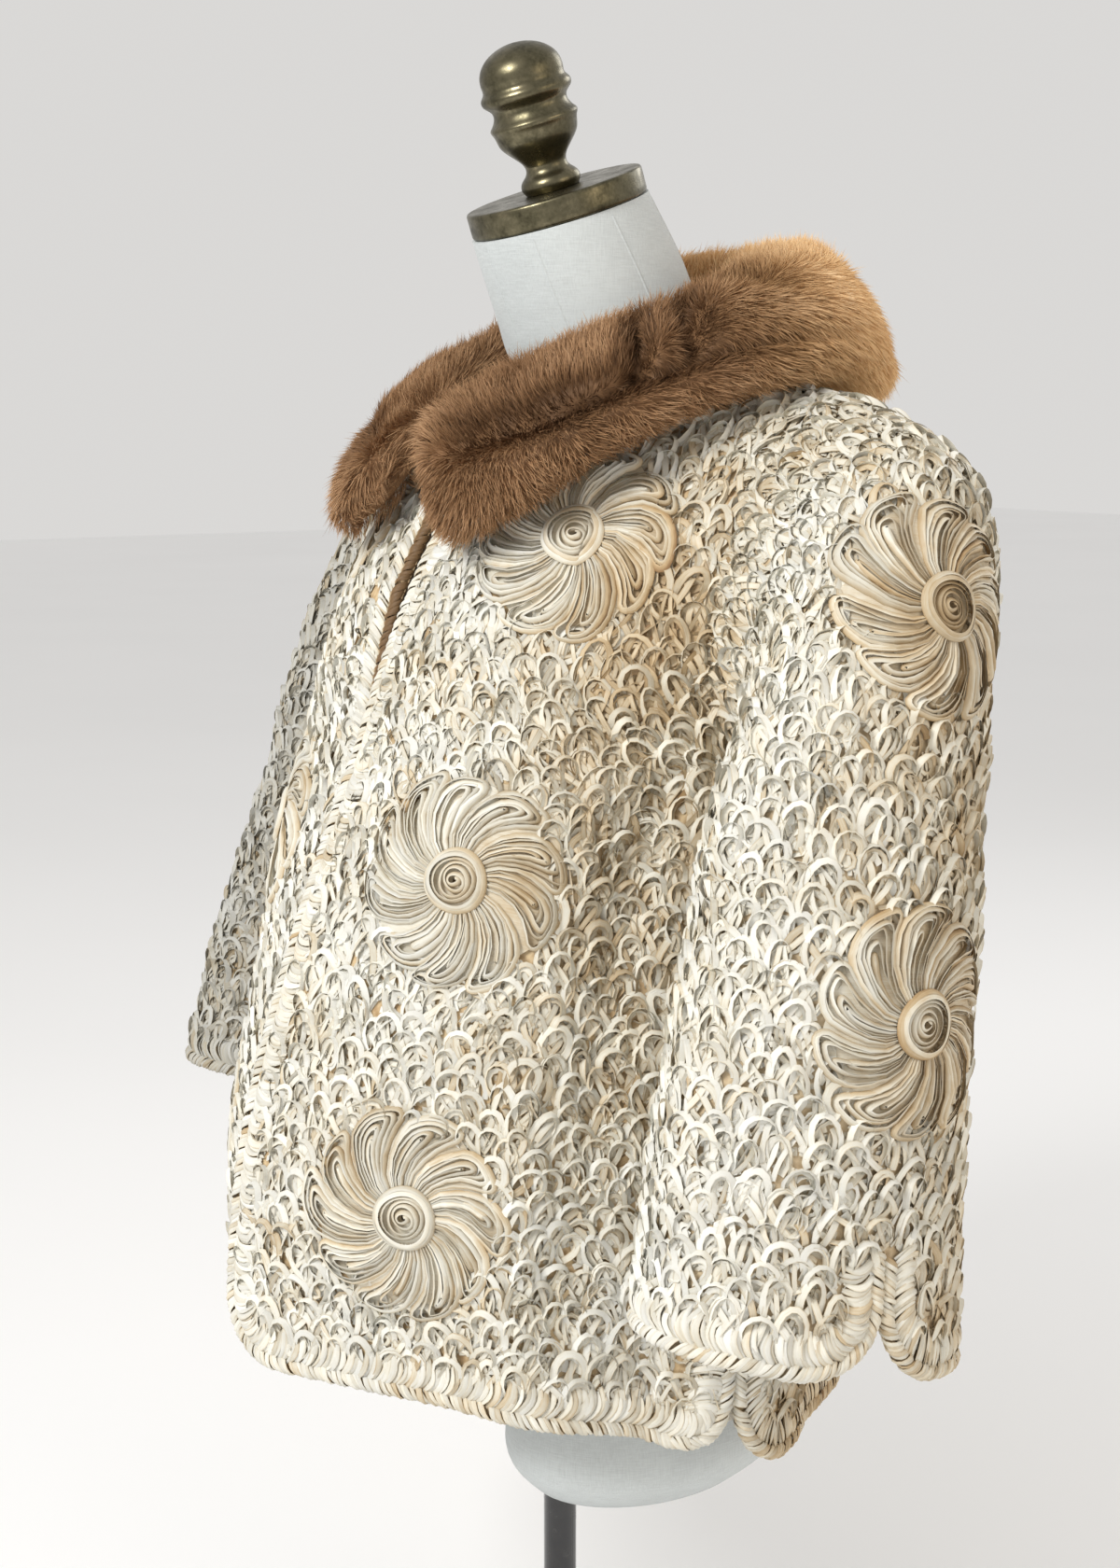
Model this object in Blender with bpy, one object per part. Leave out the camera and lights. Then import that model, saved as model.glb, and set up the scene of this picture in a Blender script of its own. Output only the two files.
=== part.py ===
"""Cropped jacket of crocheted straw tape with a fur collar, worn by a limbless dress form on a stand.

Metres, +Z up. The jacket's front faces -Y and its left side is +X.
The origin is the middle of the stand's foot, on the floor.
"""

import math
from collections import namedtuple

import bmesh
import bpy
import numpy as np
from mathutils import Matrix, Vector

# Cloth walls, measured outwards from the garment's drafted surface
LACE = (0.0, 0.003)
EDGING = (-0.0012, 0.0042)
LINING = (-0.0015, -0.0004)
ROSETTE_THICKNESS = 0.0034
SEAM_INSET = 0.0004  # each side of a seam draws back by this much

# Garment sizes
FRONT_GAP = 0.005  # from the centre line to each front edge
FRONT_LAG = 0.030  # the right front edge sits this much behind the left one at the hem
CORNER_RADIUS = 0.048  # front and slit corners of the hem
CUFF_CORNER_RADIUS = 0.042
EDGING_SHARE = 0.072  # of a panel's width or of the height below the armhole
SLIT_AT = 0.20  # top of the side slit, as a share of the height below the armhole
CUFF_SLIT = 0.11  # top of the sleeve slit, as a share of the sleeve's length
CUFF_EDGING = 0.05
RIGHT_SLEEVE_SWAY = 0.016  # the right sleeve hangs this much further back at its middle
SHOULDER_POINT = (0.200, 0.078, 0.848)
UNDERARM_POINT = (0.188, 0.038, 0.640)
ROSETTE_RADIUS = 0.0625

# Grid resolution
RING_SAMPLES = 97
LOWER_ROWS = (0.0, EDGING_SHARE, SLIT_AT, 0.40, 0.60, 0.80, 1.0)
UPPER_STEPS = 8
SHOULDER_COLUMNS = (0.0, 0.30, 0.60, 0.88, 1.0)
FRONT_NECK_COLUMNS = (0.0, 0.11, 0.40, 0.70)
BACK_NECK_COLUMNS = (0.0, 0.5)
SLEEVE_COLUMNS = 2 * UPPER_STEPS
SLEEVE_ROWS = (
    1.0, 1.0 - CUFF_EDGING, 1.0 - CUFF_SLIT, 1.0 - CUFF_SLIT - CUFF_EDGING, 0.66, 0.49, 0.32, 0.16, 0.0,
)

# Body sections from the hem up to the underarm
# fullness under 1 squares the front of a section, over 1 points it
BodyRow = namedtuple("BodyRow", "at front_z side_z half_width side_y front_y back_y fullness")
BODY_ROWS = (
    BodyRow(0.00, 0.282, 0.228, 0.225, -0.030, -0.246, 0.136, 1.35),
    BodyRow(0.37, 0.411, 0.405, 0.213, -0.008, -0.232, 0.128, 1.18),
    BodyRow(0.73, 0.541, 0.540, 0.199, 0.016, -0.192, 0.130, 0.98),
    BodyRow(1.00, 0.640, UNDERARM_POINT[2], UNDERARM_POINT[0], UNDERARM_POINT[1], -0.152, 0.136, 0.85),
)
BACK_FULLNESS = 0.90
BLADE_FULLNESS = 0.020  # how far the upper back rounds out behind the shoulder seam

# Soft flutes of the swinging hem: where round the panel, how wide, how deep at the hem
Flute = namedtuple("Flute", "panel at spread depth")
FLUTES = (
    Flute("front", 0.20, 0.10, 0.004),
    Flute("front", 0.62, 0.08, 0.010),
    Flute("front", 0.80, 0.09, -0.010),
    Flute("back", 0.22, 0.10, -0.008),
    Flute("back", 0.42, 0.10, 0.010),
    Flute("back", 0.68, 0.12, -0.009),
    Flute("back", 0.00, 0.12, 0.008),
)

# Front edge above the underarm, neckline and shoulder points
CentreRow = namedtuple("CentreRow", "at y z")
FRONT_EDGE = (
    CentreRow(0.0, -0.152, 0.640),
    CentreRow(0.5, -0.120, 0.718),
    CentreRow(1.0, -0.083, 0.792),
)
BACK_EDGE = (
    CentreRow(0.0, 0.136, 0.640),
    CentreRow(0.5, 0.146, 0.772),
    CentreRow(1.0, 0.122, 0.880),
)
NECK_POINT = (0.082, 0.048, 0.876)
NECK_FRONT_PULL = (0.060, -0.070, 0.800)  # bends the front neckline
NECK_BACK_PULL = (0.060, 0.118, 0.884)  # bends the back neckline

# Sleeve rings from the armhole down to the cuff. lean turns the ring from upright to level,
# rake carries its outer line backwards, pitch raises its front.
ARMHOLE = (np.array(SHOULDER_POINT) + np.array(UNDERARM_POINT)) / 2
ARMHOLE_HALF = (np.array(SHOULDER_POINT) - np.array(UNDERARM_POINT)) / 2
SleeveRing = namedtuple("SleeveRing", "at x y z half_height half_depth lean rake pitch")
SLEEVE_RINGS = (
    SleeveRing(
        0.00, *ARMHOLE, math.hypot(ARMHOLE_HALF[0], ARMHOLE_HALF[2]), 0.076,
        math.degrees(math.atan2(ARMHOLE_HALF[0], ARMHOLE_HALF[2])), ARMHOLE_HALF[1], 0.0,
    ),
    SleeveRing(0.18, 0.246, 0.046, 0.718, 0.1010, 0.074, 19.0, 0.016, 0.0),
    SleeveRing(0.36, 0.264, 0.019, 0.650, 0.0880, 0.082, 35.0, 0.005, 0.02),
    SleeveRing(0.58, 0.276, -0.002, 0.550, 0.0770, 0.087, 54.0, 0.0, 0.08),
    SleeveRing(0.80, 0.287, -0.022, 0.446, 0.0665, 0.093, 72.0, 0.0, 0.16),
    SleeveRing(1.00, 0.2950, -0.036, 0.342, 0.0640, 0.098, 91.0, 0.0, 0.24),
)

# Rosettes sewn on each half: panel, place across and up it
# and how far its underside is lifted off the drafted surface
Spot = namedtuple("Spot", "name panel across up lift")
ROSETTES = (
    Spot("chest", "front", 0.55, 1.56, 0.0043),
    Spot("waist", "front", 0.38, 0.84, 0.0040),
    Spot("hem", "front", 0.39, 0.31, 0.0038),
    Spot("blade", "back", 0.50, 1.36, 0.0044),
    Spot("loin", "back", 0.57, 0.83, 0.0044),
    Spot("tail", "back", 0.58, 0.32, 0.0052),
    Spot("upper", "sleeve", 0.98, 0.32, 0.0042),
    Spot("lower", "sleeve", 0.98, 0.69, 0.0044),
)
ROSETTE_RINGS = (0.34, 0.70, 1.0)
ROSETTE_SPOKES = 14
ROUNDING_STEPS = 6  # each one brings a rosette's rim nearer to a true circle on the cloth

# Fur collar, left half from its front end to the back of the neck
CollarRow = namedtuple("CollarRow", "at x y z half_width half_height slope")
COLLAR_ROWS = (
    CollarRow(0.00, 0.036, -0.110, 0.806, 0.050, 0.021, 52.0),
    CollarRow(0.22, 0.080, -0.076, 0.834, 0.050, 0.023, 44.0),
    CollarRow(0.45, 0.122, -0.018, 0.868, 0.047, 0.022, 26.0),
    CollarRow(0.65, 0.136, 0.066, 0.896, 0.050, 0.026, 27.0),
    CollarRow(0.84, 0.084, 0.150, 0.902, 0.054, 0.034, 54.0),
    CollarRow(1.00, 0.000, 0.174, 0.900, 0.058, 0.038, 62.0),
)
# The roll stands higher on the left and lies flatter on the right: its top moves by twice this, its underside stays
CollarRise = namedtuple("CollarRise", "share rise")
COLLAR_RISES = (
    CollarRise(0.00, 0.0),
    CollarRise(0.11, 0.003),
    CollarRise(0.22, 0.0045),
    CollarRise(0.33, 0.004),
    CollarRise(0.42, -0.002),
    CollarRise(0.50, -0.003),
    CollarRise(0.58, -0.004),
    CollarRise(0.67, -0.005),
    CollarRise(0.78, -0.0045),
    CollarRise(0.89, -0.0035),
    CollarRise(1.00, -0.002),
)
COLLAR_STEPS = 22
COLLAR_SIDES = 12
COLLAR_END = (0.45, 0.80, 0.95)  # section sizes that round off a front end
COLLAR_END_STEP = 0.010

# Dress form sections from the hips to the neck. point narrows a section towards its sides.
FormRow = namedtuple("FormRow", "z half_width front_y back_y point pitch")
FORM_ROWS = (
    FormRow(0.232, 0.140, -0.070, 0.080, 0.9, 0.0),
    FormRow(0.250, 0.153, -0.082, 0.092, 0.9, 0.0),
    FormRow(0.310, 0.162, -0.090, 0.102, 0.9, 0.0),
    FormRow(0.400, 0.150, -0.086, 0.092, 0.9, 0.0),
    FormRow(0.490, 0.122, -0.078, 0.072, 0.95, 0.0),
    FormRow(0.570, 0.130, -0.088, 0.080, 0.95, 0.0),
    FormRow(0.650, 0.146, -0.104, 0.092, 0.95, 0.0),
    FormRow(0.730, 0.156, -0.085, 0.106, 1.0, 0.0),
    FormRow(0.790, 0.160, -0.046, 0.112, 1.2, 0.0),
    FormRow(0.825, 0.163, -0.012, 0.110, 1.6, 0.0),
    FormRow(0.842, 0.160, 0.008, 0.106, 1.9, 0.0),
    FormRow(0.852, 0.150, 0.012, 0.102, 1.9, 0.0),
    FormRow(0.858, 0.098, 0.006, 0.098, 1.6, 0.02),
    FormRow(0.866, 0.073, -0.010, 0.096, 1.2, 0.06),
    FormRow(0.888, 0.067, -0.024, 0.096, 1.0, 0.16),
    FormRow(0.922, 0.061, -0.037, 0.083, 1.0, 0.28),
    FormRow(0.968, 0.055, -0.055, 0.055, 1.0, 0.34),
)
FORM_SIDES = 28
THIGH_X = 0.086
ThighRow = namedtuple("ThighRow", "z half_width half_depth y")
THIGH_ROWS = (
    ThighRow(0.170, 0.056, 0.078, 0.008),
    ThighRow(0.180, 0.066, 0.091, 0.011),
    ThighRow(0.230, 0.070, 0.095, 0.012),
    ThighRow(0.290, 0.064, 0.088, 0.012),
)
THIGH_SIDES = 20

# Neck cap and finial, turned about the neck's own axis
NECK_LEAN = 19.0  # degrees forwards
CAP_FOOT = (0.0, 0.0, 0.9685)
CAP_RADIUS = 0.0565
CAP_HEIGHT = 0.016
CAP_BEVEL = 0.0015
TURNED_SIDES = 32
GAP = 0.0003
TurnedRow = namedtuple("TurnedRow", "height radius")
FINIAL = (
    TurnedRow(0.000, 0.0170),
    TurnedRow(0.004, 0.0189),
    TurnedRow(0.009, 0.0170),
    TurnedRow(0.011, 0.0148),
    TurnedRow(0.020, 0.0148),
    TurnedRow(0.023, 0.0175),
    TurnedRow(0.031, 0.0242),
    TurnedRow(0.039, 0.0265),
    TurnedRow(0.043, 0.0278),
    TurnedRow(0.046, 0.0254),
    TurnedRow(0.053, 0.0238),
    TurnedRow(0.058, 0.0282),
    TurnedRow(0.061, 0.0286),
    TurnedRow(0.065, 0.0261),
    TurnedRow(0.071, 0.0261),
    TurnedRow(0.080, 0.0217),
    TurnedRow(0.086, 0.0138),
    TurnedRow(0.0895, 0.0000),
)

# Stand
STAND_RISE = 0.060  # all but the foot is drafted this much lower than it stands
POLE_RADIUS = 0.0112
FOOT_PROFILE = (
    TurnedRow(0.000, 0.165),
    TurnedRow(0.008, 0.165),
    TurnedRow(0.012, 0.160),
    TurnedRow(0.018, 0.040),
    TurnedRow(0.030, 0.024),
    TurnedRow(0.034, 0.020),
)

MATERIALS = {
    "straw": ((0.86, 0.79, 0.64), 0.75, 0.0),
    "edging": ((0.84, 0.76, 0.58), 0.75, 0.0),
    "lining": ((0.62, 0.57, 0.48), 0.55, 0.0),
    "fur": ((0.33, 0.19, 0.10), 0.85, 0.0),
    "linen": ((0.72, 0.72, 0.70), 0.9, 0.0),
    "bronze": ((0.20, 0.17, 0.10), 0.35, 1.0),
    "black": ((0.01, 0.01, 0.012), 0.25, 0.0),
}


def material(name):
    """The named material, made on first use."""
    found = bpy.data.materials.get(name)
    if found:
        return found
    colour, roughness, metallic = MATERIALS[name]
    made = bpy.data.materials.new(name)
    made.use_nodes = True
    shader = made.node_tree.nodes["Principled BSDF"]
    shader.inputs["Base Color"].default_value = (*colour, 1.0)
    shader.inputs["Roughness"].default_value = roughness
    shader.inputs["Metallic"].default_value = metallic
    return made


def through(rows, at):
    """Each column of a table at the given place, on a smooth curve through its rows."""
    table = np.array(rows, float)
    places, values = table[:, 0], table[:, 1:]
    slopes = np.gradient(values, places, axis=0)
    i = int(np.clip(np.searchsorted(places, at) - 1, 0, len(places) - 2))
    step = places[i + 1] - places[i]
    s = np.clip((at - places[i]) / step, 0.0, 1.0)
    ends = values[i] * (1 + 2 * s) * (1 - s) ** 2 + values[i + 1] * s * s * (3 - 2 * s)
    return ends + step * (slopes[i] * s * (1 - s) ** 2 - slopes[i + 1] * s * s * (1 - s))


def along(curve, share):
    """The point at that share of a polyline's length."""
    steps = np.linalg.norm(np.diff(curve, axis=0), axis=1)
    length = np.concatenate([[0.0], np.cumsum(steps)])
    return np.array([np.interp(share * length[-1], length, curve[:, k]) for k in range(3)])


def bent(start, pull, end):
    """A curve from start to end, drawn towards pull."""
    t = np.linspace(0, 1, RING_SAMPLES)[:, None]
    return (1 - t) ** 2 * np.array(start) + 2 * t * (1 - t) * np.array(pull) + t**2 * np.array(end)


def sleeve_point(share, down):
    """A point of the left sleeve: share of the way round from its outer line, and down from the armhole."""
    x, y, z, half_height, half_depth, lean, rake, pitch = through(SLEEVE_RINGS, down)
    turn = 2 * math.pi * share
    outwards = half_height * math.cos(turn)
    back = rake * math.cos(turn) - half_depth * math.sin(turn)
    tilt = math.radians(lean)
    return np.array([
        x + outwards * math.sin(tilt),
        y + back,
        z + outwards * math.cos(tilt) - pitch * back,
    ])


def flute(panel, across, low):
    """How far the hem's flutes push a panel out, growing towards the hem."""
    swing = np.clip(1.0 - low, 0.0, 1.0) ** 1.5 * np.clip(8 * (1 - across), 0.0, 1.0)
    return swing * sum(
        f.depth * np.exp(-(((across - f.at) / f.spread) ** 2)) for f in FLUTES if f.panel == panel
    )


def lower_ring(panel, low):
    """Half a body section: centre line to side. low runs from the hem, 0, to the underarm, 1."""
    front_z, side_z, half_width, side_y, front_y, back_y, fullness = through(BODY_ROWS, low)
    turn = np.linspace(0, math.pi / 2, RING_SAMPLES)
    gap, centre_y = FRONT_GAP, front_y
    if panel == "back":
        gap, centre_y, fullness = 0.0, back_y, BACK_FULLNESS
    x = gap + (half_width - gap) * np.sin(turn) ** fullness
    y = side_y + (centre_y - side_y) * np.cos(turn) ** fullness
    z = front_z + (side_z - front_z) * (turn / turn[-1]) ** 3
    if panel == "back":
        z = np.full_like(turn, side_z)
    ring = np.stack([x, y, z], axis=1)
    out = np.stack([np.sin(turn), np.sign(centre_y) * np.cos(turn), np.zeros_like(turn)], axis=1)
    return ring + out * flute(panel, turn / turn[-1], low)[:, None]


def top_curve(panel):
    """Neckline and shoulder seam of half a panel, and the neck point's share of its length."""
    front = panel == "front"
    edge = FRONT_EDGE[-1] if front else BACK_EDGE[-1]
    start = (FRONT_GAP if front else 0.0, edge.y, edge.z)
    neckline = bent(start, NECK_FRONT_PULL if front else NECK_BACK_PULL, NECK_POINT)
    shoulder = np.linspace(NECK_POINT, sleeve_point(0.0, 0.0), RING_SAMPLES)
    sizes = [np.linalg.norm(np.diff(c, axis=0), axis=1).sum() for c in (neckline, shoulder)]
    return np.concatenate([neckline, shoulder[1:]]), sizes[0] / sum(sizes)


def upper_point(panel, across, high):
    """A point between the underarm, 0, and the neckline or shoulder, 1: a patch blended from its four edges."""
    front = panel == "front"
    bottom, (top, _) = lower_ring(panel, 1.0), top_curve(panel)
    y, z = through(FRONT_EDGE if front else BACK_EDGE, high)
    centre = np.array([FRONT_GAP if front else 0.0, y, z])
    turn = 0.5 * (1 - high)
    armhole = sleeve_point(turn if front else 1 - turn, 0.0)
    corners = (
        (1 - across) * (1 - high) * bottom[0]
        + across * (1 - high) * bottom[-1]
        + (1 - across) * high * top[0]
        + across * high * top[-1]
    )
    bulge = 0.0 if front else BLADE_FULLNESS * 6.75 * high**2 * (1 - high) * math.cos(across * math.pi / 2)
    return (
        np.array([0.0, bulge, 0.0])
        + (1 - high) * along(bottom, across)
        + high * along(top, across)
        + (1 - across) * centre
        + across * armhole
        - corners
    )


def body_point(panel, across, up):
    """A point of the left half of a panel: across from the centre line, up from the hem, 0, past the underarm, 1."""
    if up <= 1.0:
        return along(lower_ring(panel, up), across)
    return upper_point(panel, across, up - 1.0)


def lag(across, up):
    """How far the right front sits behind the left one, fading towards its side and its neck."""
    return FRONT_LAG * (1 - across) ** 2 * np.clip(1.6 - up, 0.0, 1.0)


def panel_point(panel, side, across, up):
    """A point of any panel, as its left half or as the right half's mirror image."""
    if panel == "sleeve":
        sway = RIGHT_SLEEVE_SWAY * math.sin(math.pi * up) if side < 0 else 0.0
        return sleeve_point(across, up) + np.array([0.0, sway, 0.0])
    across, up = np.clip(across, 0.0, 1.0), np.clip(up, 0.0, 2.0)
    place = body_point(panel, across, up)
    if panel == "front" and side < 0:
        place = place + np.array([0.0, lag(across, up), 0.0])
    return place


def rounded(across, up, width, height, radius, left, right):
    """Rounds the bottom corners of a panel by drawing nearby points in. left and right say which corners."""
    for wanted, mirrored in ((left, False), (right, True)):
        share = 1 - across if mirrored else across
        a, b = (radius - share * width) / radius, (radius - up * height) / radius
        if wanted and a > 0 and b > 0:
            a, b = a * math.sqrt(1 - b * b / 2), b * math.sqrt(1 - a * a / 2)
            share, up = radius * (1 - a) / width, radius * (1 - b) / height
            across = 1 - share if mirrored else share
    return across, up


def body_columns(panel):
    """Shares across half a panel, with the neck point and the slit's edging among them."""
    neck = top_curve(panel)[1]
    inner = FRONT_NECK_COLUMNS if panel == "front" else BACK_NECK_COLUMNS
    return [neck * share for share in inner] + [neck + (1 - neck) * share for share in SHOULDER_COLUMNS]


def body_grid(panel, side=1):
    """Rows of points of the left half of a panel from the hem up, or of the right half's mirror image."""
    ring = lower_ring(panel, 0.0)
    width = np.linalg.norm(np.diff(ring, axis=0), axis=1).sum()
    height = BODY_ROWS[-1].side_z - BODY_ROWS[0].side_z
    ups = list(LOWER_ROWS) + [1 + (k + 1) / UPPER_STEPS for k in range(UPPER_STEPS)]
    grid = []
    for up in ups:
        places = [
            rounded(across, up, width, height, CORNER_RADIUS, panel == "front", True)
            for across in body_columns(panel)
        ]
        grid.append([panel_point(panel, side, *place) for place in places])
    return np.array(grid)


def sleeve_grid(side):
    """Rows of points of a sleeve from the cuff up, round from its outer slit: the left, or the right's mirror."""
    ring = SLEEVE_RINGS[-1]
    width = math.pi * (ring.half_height + ring.half_depth)
    height = np.linalg.norm(sleeve_point(0, 1.0) - sleeve_point(0, 1.0 - CUFF_SLIT)) / CUFF_SLIT
    grid = []
    for down in SLEEVE_ROWS:
        row = []
        for k in range(SLEEVE_COLUMNS + 1):
            share, up = rounded(
                k / SLEEVE_COLUMNS, 1 - down, width, height, CUFF_CORNER_RADIUS, True, True
            )
            row.append(panel_point("sleeve", side, share, 1 - up))
        grid.append(row)
    return np.array(grid)


def mirrored(grid):
    """The right-hand twin of a grid, with its columns in the same turning sense."""
    return grid[:, ::-1] * np.array([-1.0, 1.0, 1.0])


def unit(vector):
    return vector / max(np.linalg.norm(vector), 1e-12)


def place_key(point):
    """A rounded place, equal for the points that two panels share."""
    return tuple(np.round(point * 1e5).astype(int))


def seam_normals(grids):
    """Outward normals of every grid, shared where panels meet. Body and sleeve count alike at an armhole."""
    sums = {"body": {}, "sleeve": {}}
    for name, grid in grids.items():
        found = sums["sleeve" if name.startswith("sleeve") else "body"]
        normals = np.cross(np.gradient(grid, axis=1), np.gradient(grid, axis=0))
        for point, normal in zip(grid.reshape(-1, 3), normals.reshape(-1, 3)):
            found[place_key(point)] = found.get(place_key(point), 0.0) + unit(normal)
    shared = {}
    for found in sums.values():
        for key, total in found.items():
            shared[key] = shared.get(key, 0.0) + unit(total)
    return {
        name: np.array([[unit(shared[place_key(point)]) for point in row] for row in grid])
        for name, grid in grids.items()
    }


def add_object(name, mesh_data, material_name, smooth=True):
    """Links a finished bmesh to the scene as a named object."""
    mesh = bpy.data.meshes.new(name)
    bmesh.ops.recalc_face_normals(mesh_data, faces=mesh_data.faces)
    mesh_data.to_mesh(mesh)
    mesh_data.free()
    mesh.materials.append(material(material_name))
    if smooth:
        mesh.shade_smooth()
        mesh.set_sharp_from_angle(angle=math.radians(50))
    made = bpy.data.objects.new(name, mesh)
    bpy.context.scene.collection.objects.link(made)
    return made


def cloth_wall(name, grid, normals, cells, skin, material_name, joined, flipped):
    """A wall on some cells of a grid. joined lists the rows whose last column is the first one again,
    flipped counts the leading columns whose diagonals run the other way."""
    last = grid.shape[1] - 1

    def corner(row, column):
        return (row, 0) if column == last and row in joined else (row, column)

    faces = [
        [corner(r, c), corner(r, c + 1), corner(r + 1, c + 1), corner(r + 1, c)] for r, c in cells
    ]
    corners_used = {key for face in faces for key in face}
    uses = {}
    for face in faces:
        middle = np.mean([grid[k] for k in face], axis=0)
        for here, following in zip(face, face[1:] + face[:1]):
            uses.setdefault(frozenset((here, following)), []).append((here, following, middle))
    rim = [pair[0] for pair in uses.values() if len(pair) == 1]
    inwards = {}
    for here, following, middle in rim:
        run = grid[following] - grid[here]
        run /= np.linalg.norm(run)
        into = middle - grid[here]
        into -= run * (into @ run)
        into /= np.linalg.norm(into)
        inwards.setdefault(here, []).append(into)
        inwards.setdefault(following, []).append(into)
    shape = bmesh.new()
    skins = []
    for height in skin:
        points = {}
        for key in corners_used:
            place = grid[key] + normals[key] * height
            if key in inwards:
                first, second = inwards[key][0], inwards[key][-1]
                place = place + SEAM_INSET * (first + second) / max(1 + first @ second, 0.3)
            points[key] = shape.verts.new(Vector(place))
        skins.append(points)
    below, above = skins
    for face in faces:
        if face[0][1] < flipped:
            face = face[1:] + face[:1]
        for corners in (face[:3], [face[0], face[2], face[3]]):
            shape.faces.new([above[k] for k in corners])
            shape.faces.new([below[k] for k in reversed(corners)])
    for here, following, _ in rim:
        shape.faces.new([above[following], above[here], below[here], below[following]])
    return add_object(name, shape, material_name)


def cell_groups(grid, edging_rows, left_edge_rows, right_edge_rows):
    """Splits a grid's cells into the panel and the crocheted edging round its free edges."""
    rows, columns = grid.shape[0] - 1, grid.shape[1] - 1
    edging, panel = [], []
    for r in range(rows):
        for c in range(columns):
            on_left = c == 0 and r < left_edge_rows
            on_right = c == columns - 1 and r < right_edge_rows
            chosen = edging if r < edging_rows or on_left or on_right else panel
            chosen.append((r, c))
    return panel, edging


def build_cloth():
    """Fronts, back and sleeves, each with its edging and its lining."""
    half_back = body_grid("back")
    back = np.concatenate([half_back[:, ::-1], mirrored(half_back[:, ::-1])[:, 1:]], axis=1)
    grids = {
        "front_left": body_grid("front"),
        "front_right": mirrored(body_grid("front", -1)),
        "back": back,
        "sleeve_left": sleeve_grid(1)[:, ::-1],
        "sleeve_right": mirrored(sleeve_grid(-1)[:, ::-1]),
    }
    normals = seam_normals(grids)
    slit = LOWER_ROWS.index(SLIT_AT)
    whole = len(LOWER_ROWS) - 1 + UPPER_STEPS
    edge_rows = {"front_left": (whole, slit), "front_right": (slit, whole), "back": (slit, slit)}
    cuff_slit = SLEEVE_ROWS.index(1.0 - CUFF_SLIT)
    for name, grid in grids.items():
        tube = name.startswith("sleeve")
        left_rows, right_rows = (cuff_slit + 1, cuff_slit + 1) if tube else edge_rows[name]
        joined = range(cuff_slit, grid.shape[0]) if tube else ()
        columns = grid.shape[1]
        flipped = {"front_left": 0, "front_right": columns}.get(name, columns // 2)
        panel, edging = cell_groups(grid, 1, left_rows, right_rows)
        cloth_wall(name, grid, normals[name], panel, LACE, "straw", joined, flipped)
        cloth_wall("edging_" + name, grid, normals[name], edging, EDGING, "edging", joined, flipped)
        cloth_wall("lining_" + name, grid, normals[name], panel, LINING, "lining", joined, flipped)


def rosette_patch(spot, side):
    """Surface points, normals and the surface's own scale under a rosette."""
    small = 1e-3

    def frame(across, up):
        place = panel_point(spot.panel, side, across, up)
        along_u = (panel_point(spot.panel, side, across + small, up) - place) / small
        along_v = (panel_point(spot.panel, side, across, up + small) - place) / small
        return place, along_u, along_v

    middle, along_u, along_v = frame(spot.across, spot.up)
    level = unit(along_u)
    upright = unit(along_v - level * (along_v @ level))
    to_panel = np.linalg.inv([[along_u @ level, along_v @ level], [along_u @ upright, along_v @ upright]])
    inside = np.array([0.0, 0.0, middle[2]])
    if spot.panel == "sleeve":
        inside = np.array(through(SLEEVE_RINGS, spot.up)[:3])

    def lifted(radius, angle, height):
        wanted = radius * np.array([math.cos(angle), math.sin(angle)])
        shift = to_panel @ wanted
        for _ in range(ROUNDING_STEPS):
            away = frame(spot.across + shift[0], spot.up + shift[1])[0] - middle
            reached = np.array([away @ level, away @ upright])
            reached *= np.linalg.norm(away) / max(np.linalg.norm(reached), 1e-9)
            shift = shift + to_panel @ (wanted - reached)
        place, du, dv = frame(spot.across + shift[0], spot.up + shift[1])
        normal = np.cross(du, dv)
        normal /= np.linalg.norm(normal)
        if normal @ (middle - inside) < 0:
            normal = -normal
        return (place + normal * height) * np.array([side, 1.0, 1.0])

    return lifted


def build_rosettes():
    """Wheel-shaped rosettes on the fronts, back and sleeves, made from the cloth's points, moved out."""
    for spot in ROSETTES:
        for side, side_name in ((1, "left"), (-1, "right")):
            lifted = rosette_patch(spot, side)
            shape = bmesh.new()
            skins = []
            for height in (spot.lift, spot.lift + ROSETTE_THICKNESS):
                middle = shape.verts.new(Vector(lifted(0.0, 0.0, height)))
                rings = [
                    [
                        shape.verts.new(
                            Vector(lifted(share * ROSETTE_RADIUS, 2 * math.pi * k / ROSETTE_SPOKES, height))
                        )
                        for k in range(ROSETTE_SPOKES)
                    ]
                    for share in ROSETTE_RINGS
                ]
                skins.append((middle, rings))
            for middle, rings in skins:
                for k in range(ROSETTE_SPOKES):
                    after = (k + 1) % ROSETTE_SPOKES
                    shape.faces.new([middle, rings[0][k], rings[0][after]])
                    for inner, outer in zip(rings, rings[1:]):
                        shape.faces.new([inner[k], outer[k], outer[after], inner[after]])
            low_rim, high_rim = skins[0][1][-1], skins[1][1][-1]
            for k in range(ROSETTE_SPOKES):
                after = (k + 1) % ROSETTE_SPOKES
                shape.faces.new([low_rim[k], low_rim[after], high_rim[after], high_rim[k]])
            add_object(f"rosette_{spot.panel}_{spot.name}_{side_name}", shape, "straw")


def collar_row(share):
    """Centre, half sizes and slope of the collar's section; share runs 0 to 1 from left front end to right."""
    at = 2 * min(share, 1 - share)
    x, y, z, half_width, half_height, slope = through(COLLAR_ROWS, at)
    side = 1 if share <= 0.5 else -1
    return np.array([side * x, y, z]), half_width, half_height, math.radians(slope)


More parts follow.
